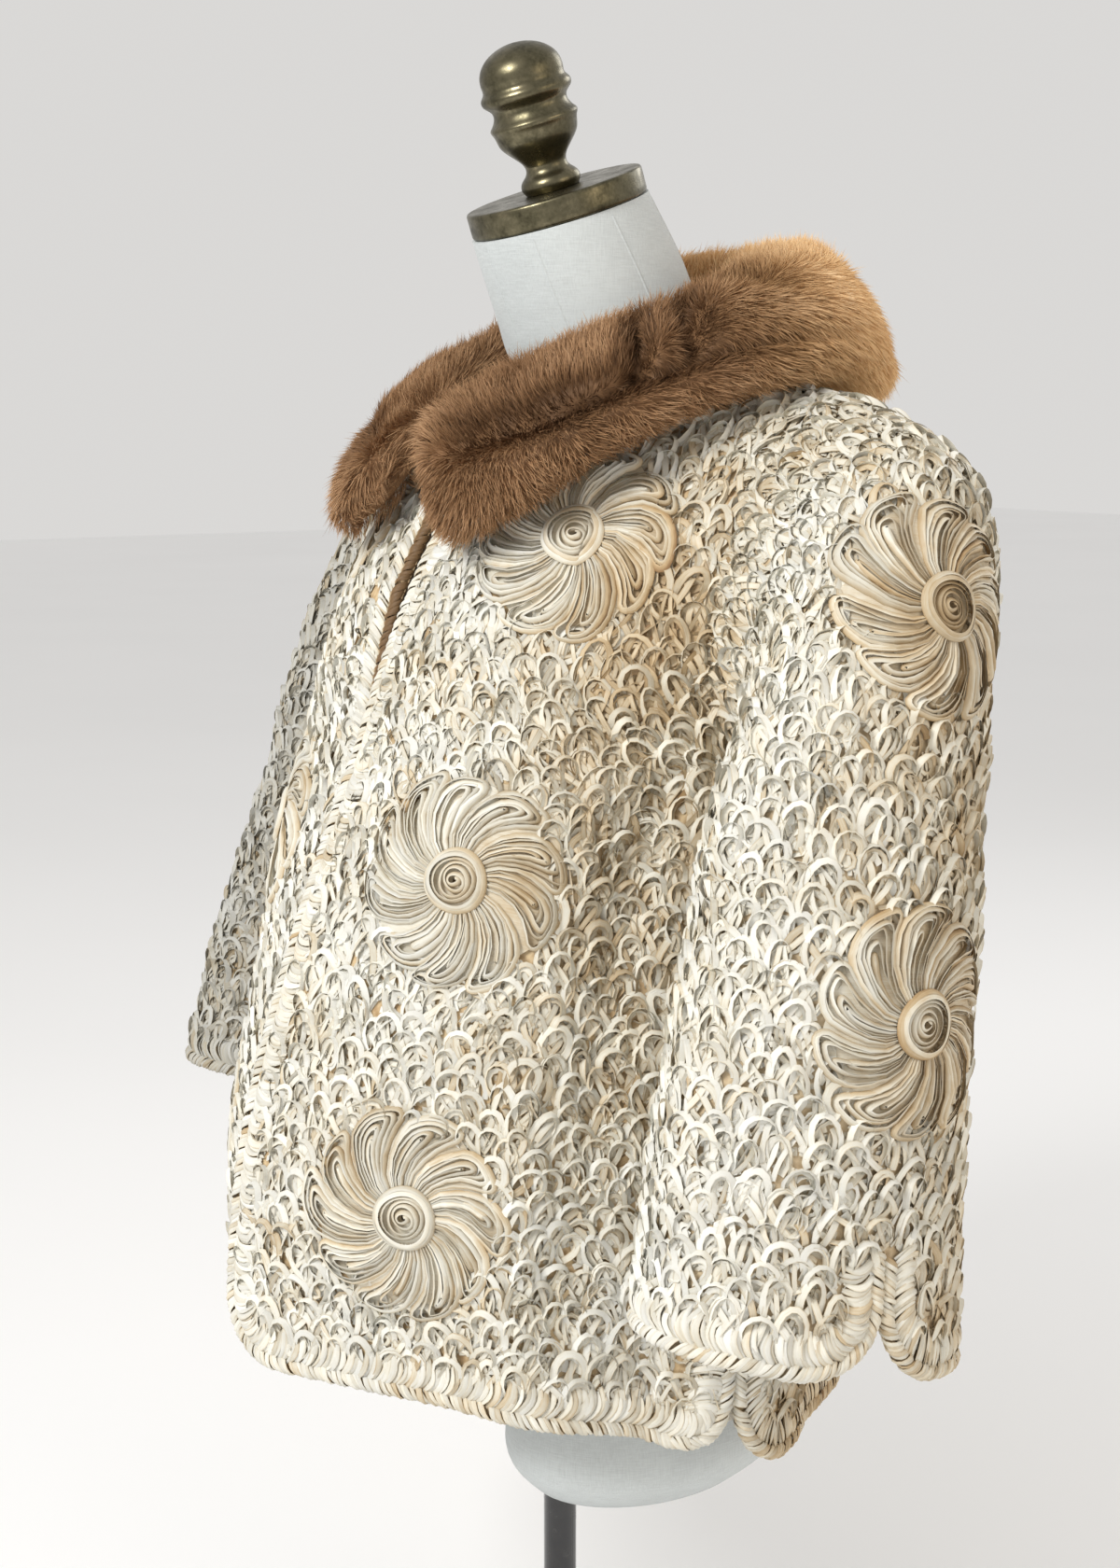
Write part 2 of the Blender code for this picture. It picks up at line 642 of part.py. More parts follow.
def collar_section(share, size, shift=0.0):
    """One oval of the collar, across the line that its centres follow."""
    centre, half_width, half_height, slope = collar_row(share)
    small = 1e-3
    before = collar_row(max(share - small, 0.0))[0]
    after = collar_row(min(share + small, 1.0))[0]
    ahead = after - before
    ahead /= np.linalg.norm(ahead)
    level = np.cross(ahead, [0, 0, 1])
    level /= np.linalg.norm(level)
    upright = np.cross(level, ahead)
    outwards = math.cos(slope) * level - math.sin(slope) * upright
    upwards = math.sin(slope) * level + math.cos(slope) * upright
    rise = through(COLLAR_RISES, share)[0]
    centre, half_height = centre + rise * upwards, half_height + rise
    points = []
    for k in range(COLLAR_SIDES):
        turn = 2 * math.pi * k / COLLAR_SIDES
        points.append(
            centre
            + ahead * shift
            + size * (half_width * math.cos(turn) * outwards + half_height * math.sin(turn) * upwards)
        )
    return points


def loft(name, rings, material_name):
    """A closed solid through rings of points, capped flat at both ends."""
    shape = bmesh.new()
    made = [[shape.verts.new(Vector(p)) for p in ring] for ring in rings]
    count = len(made[0])
    for low, high in zip(made, made[1:]):
        for k in range(count):
            after = (k + 1) % count
            shape.faces.new([low[k], low[after], high[after], high[k]])
    for cap in (made[0], made[-1]):
        bmesh.ops.triangulate(shape, faces=[shape.faces.new(cap)])
    return add_object(name, shape, material_name)


def build_collar():
    """The fur collar as one plain roll round the neck, open at the front."""
    rings = []
    for k, size in enumerate(COLLAR_END):
        rings.append(collar_section(0.0, size, -COLLAR_END_STEP * (1 - k / len(COLLAR_END))))
    rings += [collar_section(k / COLLAR_STEPS, 1.0) for k in range(COLLAR_STEPS + 1)]
    for k, size in reversed(list(enumerate(COLLAR_END))):
        rings.append(collar_section(1.0, size, COLLAR_END_STEP * (1 - k / len(COLLAR_END))))
    loft("fur_collar", rings, "fur")


def form_ring(row):
    middle, half_depth = (row.front_y + row.back_y) / 2, (row.back_y - row.front_y) / 2
    ring = []
    for k in range(FORM_SIDES):
        turn = 2 * math.pi * k / FORM_SIDES
        c, s = math.cos(turn), math.sin(turn)
        deep = math.copysign(abs(s) ** row.point, s) * half_depth
        ring.append((row.half_width * c, middle + deep, row.z + row.pitch * deep))
    return ring


def build_form():
    """The dress form's torso and neck with two short thigh ends, as one solid."""
    torso = loft("form_torso", [form_ring(row) for row in FORM_ROWS], "linen")
    for side, name in ((1, "left"), (-1, "right")):
        rings = [
            [
                (
                    side * THIGH_X + row.half_width * math.cos(2 * math.pi * k / THIGH_SIDES),
                    row.y + row.half_depth * math.sin(2 * math.pi * k / THIGH_SIDES),
                    row.z,
                )
                for k in range(THIGH_SIDES)
            ]
            for row in THIGH_ROWS
        ]
        thigh = loft("thigh_end_" + name, rings, "linen")
        thigh.hide_render = True
        thigh.display_type = "WIRE"
        union = torso.modifiers.new("thigh_end_" + name, "BOOLEAN")
        union.operation = "UNION"
        union.object = thigh


def turned(name, profile, material_name, place, lean=0.0):
    """A solid turned about its own upright axis, then leant forwards."""
    rings = [
        [
            (row.radius * math.cos(2 * math.pi * k / TURNED_SIDES),
             row.radius * math.sin(2 * math.pi * k / TURNED_SIDES),
             row.height)
            for k in range(TURNED_SIDES)
        ]
        for row in profile
        if row.radius > 0
    ]
    made = loft(name, rings, material_name)
    made.location = place
    made.rotation_euler = (math.radians(lean), 0.0, 0.0)
    return made


def build_cap_and_finial():
    lean = Matrix.Rotation(math.radians(NECK_LEAN), 3, "X")
    cap = (
        TurnedRow(0.0, CAP_RADIUS - CAP_BEVEL),
        TurnedRow(CAP_BEVEL, CAP_RADIUS),
        TurnedRow(CAP_HEIGHT - CAP_BEVEL, CAP_RADIUS),
        TurnedRow(CAP_HEIGHT, CAP_RADIUS - CAP_BEVEL),
    )
    foot = Vector(CAP_FOOT)
    turned("neck_cap", cap, "bronze", foot, NECK_LEAN)
    turned("finial", FINIAL, "bronze", foot + lean @ Vector((0, 0, CAP_HEIGHT + GAP)), NECK_LEAN)


def build_stand():
    turned("stand_foot", FOOT_PROFILE, "black", (0, 0, 0))
    bottom, top = FOOT_PROFILE[-1].height + GAP - STAND_RISE, FORM_ROWS[0].z - GAP
    pole = (TurnedRow(bottom, POLE_RADIUS), TurnedRow(top, POLE_RADIUS))
    turned("stand_pole", pole, "black", (0, 0, 0))


def main():
    for old in list(bpy.data.objects):
        bpy.data.objects.remove(old, do_unlink=True)
    build_cloth()
    build_rosettes()
    build_collar()
    build_form()
    build_cap_and_finial()
    build_stand()
    for made in bpy.data.objects:
        if made.name != "stand_foot":
            made.location.z += STAND_RISE


main()
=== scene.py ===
"""Looks of the cropped jacket: looped straw tape, wheel rosettes, braided edging, lining and a fur collar,
worn by a linen dress form. Metres, +Z up. The jacket's front faces -Y and its left side is +X.
"""

import math
from collections import namedtuple

import bpy
import numpy as np
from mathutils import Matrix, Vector


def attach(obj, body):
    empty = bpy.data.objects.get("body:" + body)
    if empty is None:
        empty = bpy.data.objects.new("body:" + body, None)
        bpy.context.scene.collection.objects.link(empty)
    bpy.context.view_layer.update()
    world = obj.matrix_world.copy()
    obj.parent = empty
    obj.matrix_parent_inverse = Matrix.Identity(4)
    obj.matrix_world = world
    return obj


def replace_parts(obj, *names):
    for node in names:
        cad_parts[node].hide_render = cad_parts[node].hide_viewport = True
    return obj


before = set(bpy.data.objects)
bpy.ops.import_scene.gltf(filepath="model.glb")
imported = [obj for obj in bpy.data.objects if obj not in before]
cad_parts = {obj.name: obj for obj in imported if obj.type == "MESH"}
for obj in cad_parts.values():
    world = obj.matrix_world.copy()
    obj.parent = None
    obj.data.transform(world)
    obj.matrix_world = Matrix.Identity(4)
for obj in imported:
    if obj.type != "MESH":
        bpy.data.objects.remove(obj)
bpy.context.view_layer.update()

DRAW = np.random.default_rng(41)
STAND_RISE = 0.060  # all but the stand's foot is drafted this much lower than it stands

# The garment's draft, as in the CAD
FRONT_GAP = 0.005
FRONT_LAG = 0.030
CORNER_RADIUS = 0.048
CUFF_CORNER_RADIUS = 0.042
SLIT_AT = 0.20
CUFF_SLIT = 0.11
RIGHT_SLEEVE_SWAY = 0.016
SHOULDER_POINT = (0.200, 0.078, 0.848)
UNDERARM_POINT = (0.188, 0.038, 0.640)
ROSETTE_RADIUS = 0.0625
RING_SAMPLES = 97
BACK_FULLNESS = 0.90
BLADE_FULLNESS = 0.020
BODY_HEIGHT = 0.412  # underarm to hem at the side

# at, front z, side z, half width, side y, front y, back y, fullness
BODY_ROWS = (
    (0.00, 0.282, 0.228, 0.225, -0.030, -0.246, 0.136, 1.35),
    (0.37, 0.411, 0.405, 0.213, -0.008, -0.232, 0.128, 1.18),
    (0.73, 0.541, 0.540, 0.199, 0.016, -0.192, 0.130, 0.98),
    (1.00, 0.640, 0.640, 0.188, 0.038, -0.152, 0.136, 0.85),
)
Flute = namedtuple("Flute", "panel at spread depth")
FLUTES = (
    Flute("front", 0.20, 0.10, 0.004),
    Flute("front", 0.62, 0.08, 0.010),
    Flute("front", 0.80, 0.09, -0.010),
    Flute("back", 0.22, 0.10, -0.008),
    Flute("back", 0.42, 0.10, 0.010),
    Flute("back", 0.68, 0.12, -0.009),
    Flute("back", 0.00, 0.12, 0.008),
)
# at, y, z
FRONT_EDGE = ((0.0, -0.152, 0.640), (0.5, -0.120, 0.718), (1.0, -0.083, 0.792))
BACK_EDGE = ((0.0, 0.136, 0.640), (0.5, 0.146, 0.772), (1.0, 0.122, 0.880))
NECK_POINT = (0.082, 0.048, 0.876)
NECK_FRONT_PULL = (0.060, -0.070, 0.800)
NECK_BACK_PULL = (0.060, 0.118, 0.884)
ARMHOLE = (np.array(SHOULDER_POINT) + np.array(UNDERARM_POINT)) / 2
ARMHOLE_HALF = (np.array(SHOULDER_POINT) - np.array(UNDERARM_POINT)) / 2
# at, x, y, z, half height, half depth, lean, rake, pitch
SLEEVE_RINGS = (
    (
        0.00, *ARMHOLE, math.hypot(ARMHOLE_HALF[0], ARMHOLE_HALF[2]), 0.076,
        math.degrees(math.atan2(ARMHOLE_HALF[0], ARMHOLE_HALF[2])), ARMHOLE_HALF[1], 0.0,
    ),
    (0.18, 0.246, 0.046, 0.718, 0.1010, 0.074, 19.0, 0.016, 0.0),
    (0.36, 0.264, 0.019, 0.650, 0.0880, 0.082, 35.0, 0.005, 0.02),
    (0.58, 0.276, -0.002, 0.550, 0.0770, 0.087, 54.0, 0.0, 0.08),
    (0.80, 0.287, -0.022, 0.446, 0.0665, 0.093, 72.0, 0.0, 0.16),
    (1.00, 0.2950, -0.036, 0.342, 0.0640, 0.098, 91.0, 0.0, 0.24),
)
Spot = namedtuple("Spot", "name panel across up lift")
ROSETTES = (
    Spot("chest", "front", 0.55, 1.56, 0.0043),
    Spot("waist", "front", 0.38, 0.84, 0.0040),
    Spot("hem", "front", 0.39, 0.31, 0.0038),
    Spot("blade", "back", 0.50, 1.36, 0.0044),
    Spot("loin", "back", 0.57, 0.83, 0.0044),
    Spot("tail", "back", 0.58, 0.32, 0.0052),
    Spot("upper", "sleeve", 0.98, 0.32, 0.0042),
    Spot("lower", "sleeve", 0.98, 0.69, 0.0044),
)
# at, x, y, z, half width, half height, slope
COLLAR_ROWS = (
    (0.00, 0.036, -0.110, 0.806, 0.050, 0.021, 52.0),
    (0.22, 0.080, -0.076, 0.834, 0.050, 0.023, 44.0),
    (0.45, 0.122, -0.018, 0.868, 0.047, 0.022, 26.0),
    (0.65, 0.136, 0.066, 0.896, 0.050, 0.026, 27.0),
    (0.84, 0.084, 0.150, 0.902, 0.054, 0.034, 54.0),
    (1.00, 0.000, 0.174, 0.900, 0.058, 0.038, 62.0),
)
# share, rise of the roll's middle and half height
COLLAR_RISES = (
    (0.00, 0.0), (0.11, 0.003), (0.22, 0.0045), (0.33, 0.004), (0.42, -0.002), (0.50, -0.003),
    (0.58, -0.004), (0.67, -0.005), (0.78, -0.0045), (0.89, -0.0035), (1.00, -0.002),
)
# z, half width, front y, back y, point, pitch
FORM_ROWS = (
    (0.232, 0.140, -0.070, 0.080, 0.9, 0.0),
    (0.250, 0.153, -0.082, 0.092, 0.9, 0.0),
    (0.310, 0.162, -0.090, 0.102, 0.9, 0.0),
    (0.400, 0.150, -0.086, 0.092, 0.9, 0.0),
    (0.490, 0.122, -0.078, 0.072, 0.95, 0.0),
    (0.570, 0.130, -0.088, 0.080, 0.95, 0.0),
    (0.650, 0.146, -0.104, 0.092, 0.95, 0.0),
    (0.730, 0.156, -0.085, 0.106, 1.0, 0.0),
    (0.790, 0.160, -0.046, 0.112, 1.2, 0.0),
    (0.825, 0.163, -0.012, 0.110, 1.6, 0.0),
    (0.842, 0.160, 0.008, 0.106, 1.9, 0.0),
    (0.852, 0.150, 0.012, 0.102, 1.9, 0.0),
    (0.858, 0.098, 0.006, 0.098, 1.6, 0.02),
    (0.866, 0.073, -0.010, 0.096, 1.2, 0.06),
    (0.888, 0.067, -0.024, 0.096, 1.0, 0.16),
    (0.922, 0.061, -0.037, 0.083, 1.0, 0.28),
    (0.968, 0.055, -0.055, 0.055, 1.0, 0.34),
)
SEAM_DEGREES = (0, 52, 90, 128, 180, 232, 270, 308)
THIGH_X = 0.086
THIGH_TOP = 0.270
# z, half width, half depth, y
THIGH_ROWS = (
    (0.170, 0.056, 0.078, 0.008),
    (0.180, 0.066, 0.091, 0.011),
    (0.230, 0.070, 0.095, 0.012),
    (0.290, 0.064, 0.088, 0.012),
)
NECK_LEAN = math.radians(19.0)
CAP_FOOT = (0.0, 0.0, 0.9685)
CAP_RADIUS = 0.0565
CAP_HEIGHT = 0.016
CAP_BEVEL = 0.0015
GAP = 0.0003
# height, radius
FINIAL = (
    (0.000, 0.0170), (0.004, 0.0189), (0.009, 0.0170), (0.011, 0.0148), (0.020, 0.0148), (0.023, 0.0175),
    (0.031, 0.0242), (0.039, 0.0265), (0.043, 0.0278), (0.046, 0.0254), (0.053, 0.0238), (0.058, 0.0282),
    (0.061, 0.0286), (0.065, 0.0261), (0.071, 0.0261), (0.080, 0.0217), (0.086, 0.0138), (0.0895, 0.0),
)
FINIAL_DOME = -4  # the row where the finial's round top begins

# Creases, listed one by one: where they start and end across and up a panel, half width and height in metres
Crease = namedtuple("Crease", "start end width height")
CREASES = {
    "front": (
        Crease((0.72, 1.10), (0.66, 0.00), 0.024, -0.0100),
        Crease((0.58, 0.85), (0.57, 0.00), 0.018, 0.0050),
        Crease((0.86, 1.22), (0.80, 0.30), 0.018, 0.0040),
        Crease((0.95, 1.30), (0.62, 1.62), 0.014, -0.0030),
        Crease((0.22, 0.62), (0.16, 0.10), 0.020, 0.0025),
        Crease((0.30, 1.20), (0.18, 0.98), 0.020, -0.0022),
    ),
    "back": (
        Crease((0.24, 0.95), (0.22, 0.08), 0.020, -0.0040),
        Crease((0.80, 1.15), (0.62, 0.50), 0.018, 0.0035),
        Crease((0.90, 1.45), (0.55, 1.62), 0.016, -0.0030),
        Crease((0.02, 1.70), (0.30, 1.50), 0.018, 0.0020),
    ),
    "sleeve": (
        Crease((0.24, 0.30), (0.22, 0.92), 0.020, 0.0035),
        Crease((0.33, 0.22), (0.12, 0.46), 0.013, -0.0028),
        Crease((0.36, 0.46), (0.10, 0.60), 0.015, -0.0026),
        Crease((0.14, 0.40), (0.12, 0.90), 0.022, -0.0030),
        Crease((0.66, 0.36), (0.90, 0.52), 0.014, -0.0028),
        Crease((0.74, 0.20), (0.70, 0.90), 0.020, 0.0030),
        Crease((0.86, 0.60), (0.84, 0.95), 0.018, -0.0024),
    ),
}
# How large one unit across and one unit up are, in metres
CREASE_SCALE = {"front": (0.32, 0.40), "back": (0.27, 0.42), "sleeve": (0.53, 0.50)}

# Lace: spacing of loops and of rows, and how high each panel is below and above the underarm
LOOP_PITCH = 0.0168
ROW_PITCH = 0.0108
ROW_HEIGHTS = {"front": (0.370, 0.270), "back": (0.414, 0.280), "sleeve": (0.500, 0.0)}
BAND = 0.027  # width of the braided edging
BRAID_PITCH = 0.0088
BRAID_POINTS = 8
SHELL = (0.0, 0.0006)
LINING = (-0.0015, -0.0005)
LINING_START = 0.070  # a body lining begins this far up its panel
LINING_SIDE = 0.066  # and this far in from a front's edge
CUFF_LINING_START = 0.052
CUFF_LINING_SLIT = 0.15  # the sleeve lining is slit up to here
CUFF_LINING_DRAWN = 0.060  # how far it draws back from the slit
CUFF_LINING_EASE = 0.03  # over which it does so
CUFF_RING = 0.52  # the way round a cuff

# Rosettes
LOBES = 10
LOBE_REACHES = (0.985, 0.965, 0.93, 0.87, 0.78)  # of the nested loops in a lobe, as shares of the radius
LOBE_OPENINGS = (16.0, 12.6, 9.2, 5.8, 2.2)  # half angles in degrees
LOBE_BEND = math.radians(36)
HUB_RADIUS = 0.0165
HUB_RIM = 0.018

# Fur
PELT_INSET = 0.0065  # how far the pelt lies under the hairs' outline
# Halves of the hairs: share along the collar from and to, and number
HAIRS = {"fur_hairs_left": (0.0, 0.5, 62000), "fur_hairs_right": (0.5, 1.0, 50000)}
# Cross creases of the pelt: share along it, slant, half width, degrees round from and to, and depth
Crossing = namedtuple("Crossing", "at slant width low high depth")
CROSSINGS = (
    Crossing(0.213, 0.016, 0.0085, 25, 150, 0.0230),
    Crossing(0.252, 0.010, 0.0120, 35, 150, 0.0125),
    Crossing(0.325, -0.020, 0.0120, 60, 160, 0.0060),
    Crossing(0.105, 0.020, 0.0160, 55, 150, 0.0035),
    Crossing(0.410, 0.016, 0.0160, 20, 140, 0.0045),
)

# Stage: the camera is fitted to the photo's view
CAMERA_AZIMUTH = math.radians(57.0)
CAMERA_PITCH = math.radians(9.73)
CAMERA_DISTANCE = 1.40
CAMERA_HEIGHT = 0.848
FOCAL_PIXELS = 2333
PICTURE_HEIGHT = 1680
SENSOR_HEIGHT = 36.0
WORLD_COLOUR = (1.0, 0.985, 0.965, 1.0)
WORLD_STRENGTH = 0.70
Lamp = namedtuple("Lamp", "name place size power colour")
LAMPS = (
    Lamp("key", (0.60, -2.15, 2.15), 1.0, 50.0, (1.0, 0.99, 0.97)),
    Lamp("fill", (2.40, 0.80, 1.50), 1.6, 10.0, (1.0, 0.84, 0.64)),
    Lamp("rim", (-0.60, 2.40, 2.10), 1.4, 12.0, (0.97, 0.98, 1.0)),
)
LAMPS_AIM_AT = 0.58  # height
FLOOR_REACH = 14.0
FLOOR_DROP = 0.0005


def through(rows, at):
    """Columns of a table at the given places, on a smooth curve through its rows."""
    table = np.array(rows, float)
    places, values = table[:, 0], table[:, 1:]
    slopes = np.gradient(values, places, axis=0)
    at = np.asarray(at, float)
    i = np.clip(np.searchsorted(places, at) - 1, 0, len(places) - 2)
    step = np.asarray(places[i + 1] - places[i])[..., None]
    s = np.clip(np.asarray(at - places[i])[..., None] / step, 0.0, 1.0)
    ends = values[i] * (1 + 2 * s) * (1 - s) ** 2 + values[i + 1] * s * s * (3 - 2 * s)
    return ends + step * (slopes[i] * s * (1 - s) ** 2 - slopes[i + 1] * s * s * (1 - s))


def run_length(points, axis=0):
    """Distance run along lines of points, 0 at the first point of each."""
    steps = np.linalg.norm(np.diff(points, axis=axis), axis=-1)
    return np.insert(np.cumsum(steps, axis=axis), 0, 0.0, axis=axis)


def bell(away, spread):
    """1 in the middle, fading to almost nothing two spreads away."""
    return np.exp(-((away / spread) ** 2))


def spaced(start, *runs):
    """Values from start through the end of each run, with evenly spaced ones in it."""
    made = [np.array([start])]
    for end, number in runs:
        made.append(np.linspace(made[-1][-1], end, number)[1:])
    return np.concatenate(made)


def along(curve, share):
    """Points at those shares of a polyline's length."""
    length = run_length(curve)
    return np.stack([np.interp(share * length[-1], length, curve[:, k]) for k in range(3)], axis=-1)


def bent(start, pull, end):
    """A curve from start to end, drawn towards pull."""
    t = np.linspace(0, 1, RING_SAMPLES)[:, None]
    return (1 - t) ** 2 * np.array(start) + 2 * t * (1 - t) * np.array(pull) + t**2 * np.array(end)


def sleeve_points(share, down):
    """Points of the left sleeve at one height, for shares of the way round from its outer line."""
    x, y, z, half_height, half_depth, lean, rake, pitch = through(SLEEVE_RINGS, down)
    turn = 2 * math.pi * np.asarray(share, float)
    outwards = half_height * np.cos(turn)
    back = rake * np.cos(turn) - half_depth * np.sin(turn)
    tilt = math.radians(lean)
    return np.stack(
        [x + outwards * math.sin(tilt), y + back, z + outwards * math.cos(tilt) - pitch * back], axis=-1
    )


def flute(panel, across, low):
    """How far the hem's flutes push a panel out, growing towards the hem."""
    swing = np.clip(1.0 - low, 0.0, 1.0) ** 1.5 * np.clip(8 * (1 - across), 0.0, 1.0)
    return swing * sum(f.depth * bell(across - f.at, f.spread) for f in FLUTES if f.panel == panel)


def lower_ring(panel, low):
    """Half a body section from the centre line to the side. low is 0 at the hem and 1 at the underarm."""
    front_z, side_z, half_width, side_y, front_y, back_y, fullness = through(BODY_ROWS, low)
    turn = np.linspace(0, math.pi / 2, RING_SAMPLES)
    gap, centre_y = FRONT_GAP, front_y
    if panel == "back":
        gap, centre_y, fullness = 0.0, back_y, BACK_FULLNESS
    x = gap + (half_width - gap) * np.sin(turn) ** fullness
    y = side_y + (centre_y - side_y) * np.abs(np.cos(turn)) ** fullness
    z = front_z + (side_z - front_z) * (turn / turn[-1]) ** 3
    if panel == "back":
        z = np.full_like(turn, side_z)
    ring = np.stack([x, y, z], axis=1)
    out = np.stack([np.sin(turn), np.sign(centre_y) * np.cos(turn), np.zeros_like(turn)], axis=1)
    return ring + out * flute(panel, turn / turn[-1], low)[:, None]


def top_curve(panel):
    """Neckline and shoulder seam of half a panel."""
    front = panel == "front"
    _, y, z = FRONT_EDGE[-1] if front else BACK_EDGE[-1]
    start = (FRONT_GAP if front else 0.0, y, z)
    neckline = bent(start, NECK_FRONT_PULL if front else NECK_BACK_PULL, NECK_POINT)
    shoulder = np.linspace(NECK_POINT, sleeve_points(0.0, 0.0), RING_SAMPLES)
    return np.concatenate([neckline, shoulder[1:]])


def upper_points(panel, across, high):
    """Points between the underarm, 0, and the neckline or shoulder, 1."""
    front = panel == "front"
    bottom, top = lower_ring(panel, 1.0), top_curve(panel)
    y, z = through(FRONT_EDGE if front else BACK_EDGE, high)
    centre = np.array([FRONT_GAP if front else 0.0, y, z])
    turn = 0.5 * (1 - high)
    armhole = sleeve_points(turn if front else 1 - turn, 0.0)
    a = np.asarray(across, float)[:, None]
    corners = (
        (1 - a) * (1 - high) * bottom[0]
        + a * (1 - high) * bottom[-1]
        + (1 - a) * high * top[0]
        + a * high * top[-1]
    )
    made = (
        (1 - high) * along(bottom, across)
        + high * along(top, across)
        + (1 - a) * centre
        + a * armhole
        - corners
    )
    if not front:
        made[:, 1] += BLADE_FULLNESS * 6.75 * high**2 * (1 - high) * np.cos(across * math.pi / 2)
    return made


def body_points(panel, side, across, up):
    """A row of a body panel's left half, or of the right half's mirror image."""
    if up <= 1.0:
        made = along(lower_ring(panel, up), across)
    else:
        made = upper_points(panel, across, up - 1.0)
    if panel == "front" and side < 0:
        made[:, 1] += FRONT_LAG * (1 - across) ** 2 * np.clip(1.6 - up, 0.0, 1.0)
    return made


def panel_row(panel, side, across, up):
    """A row of any panel, where it really is."""
    if panel == "sleeve":
        made = sleeve_points(across, up)
        if side < 0:
            made[:, 1] += RIGHT_SLEEVE_SWAY * math.sin(math.pi * up)
        return made * np.array([side, 1.0, 1.0])
    if panel == "back":
        return body_points("back", 1, np.abs(across), up) * np.stack(
            [np.where(across < 0, -1.0, 1.0), np.ones_like(across), np.ones_like(across)], axis=1
        )
    return body_points("front", side, across, up) * np.array([side, 1.0, 1.0])


def unit(vectors):
    return vectors / np.maximum(np.linalg.norm(vectors, axis=-1, keepdims=True), 1e-12)


def dot(a, b):
    return (a * b).sum(axis=-1)


def crease_height(panel, across, up):
    """Sum of the listed creases, each soft, uneven and fading at its ends."""
    wide, tall = CREASE_SCALE[panel]
    total = np.zeros(np.broadcast(across, up).shape)
    shifts = (-1, 0, 1) if panel == "sleeve" else (0,)
    places = np.abs(across) if panel == "back" else across
    for k, crease in enumerate(CREASES[panel]):
        for shift in shifts:
            x0, y0 = (crease.start[0] + shift) * wide, crease.start[1] * tall
            run_x = (crease.end[0] - crease.start[0]) * wide
            run_y = (crease.end[1] - crease.start[1]) * tall
            x, y = places * wide - x0, up * tall - y0
            t = np.clip((x * run_x + y * run_y) / (run_x**2 + run_y**2), 0.0, 1.0)
            away = np.hypot(x - t * run_x, y - t * run_y)
            uneven = 0.75 + 0.25 * np.sin(9.0 * t + 2.1 * k)
            ends = np.clip(4.0 * np.minimum(t, 1 - t) + 0.15, 0.0, 1.0)
            total += crease.height * uneven * ends * bell(away, crease.width)
    return total


# Columns of a surface's table: normal, slopes across and up, and lengths from a row's ends and from the hem
NORMAL, SLOPE_ACROSS, SLOPE_UP = slice(3, 6), slice(6, 9), slice(9, 12)
FROM_LEFT, FROM_RIGHT, FROM_HEM = 12, 13, 14


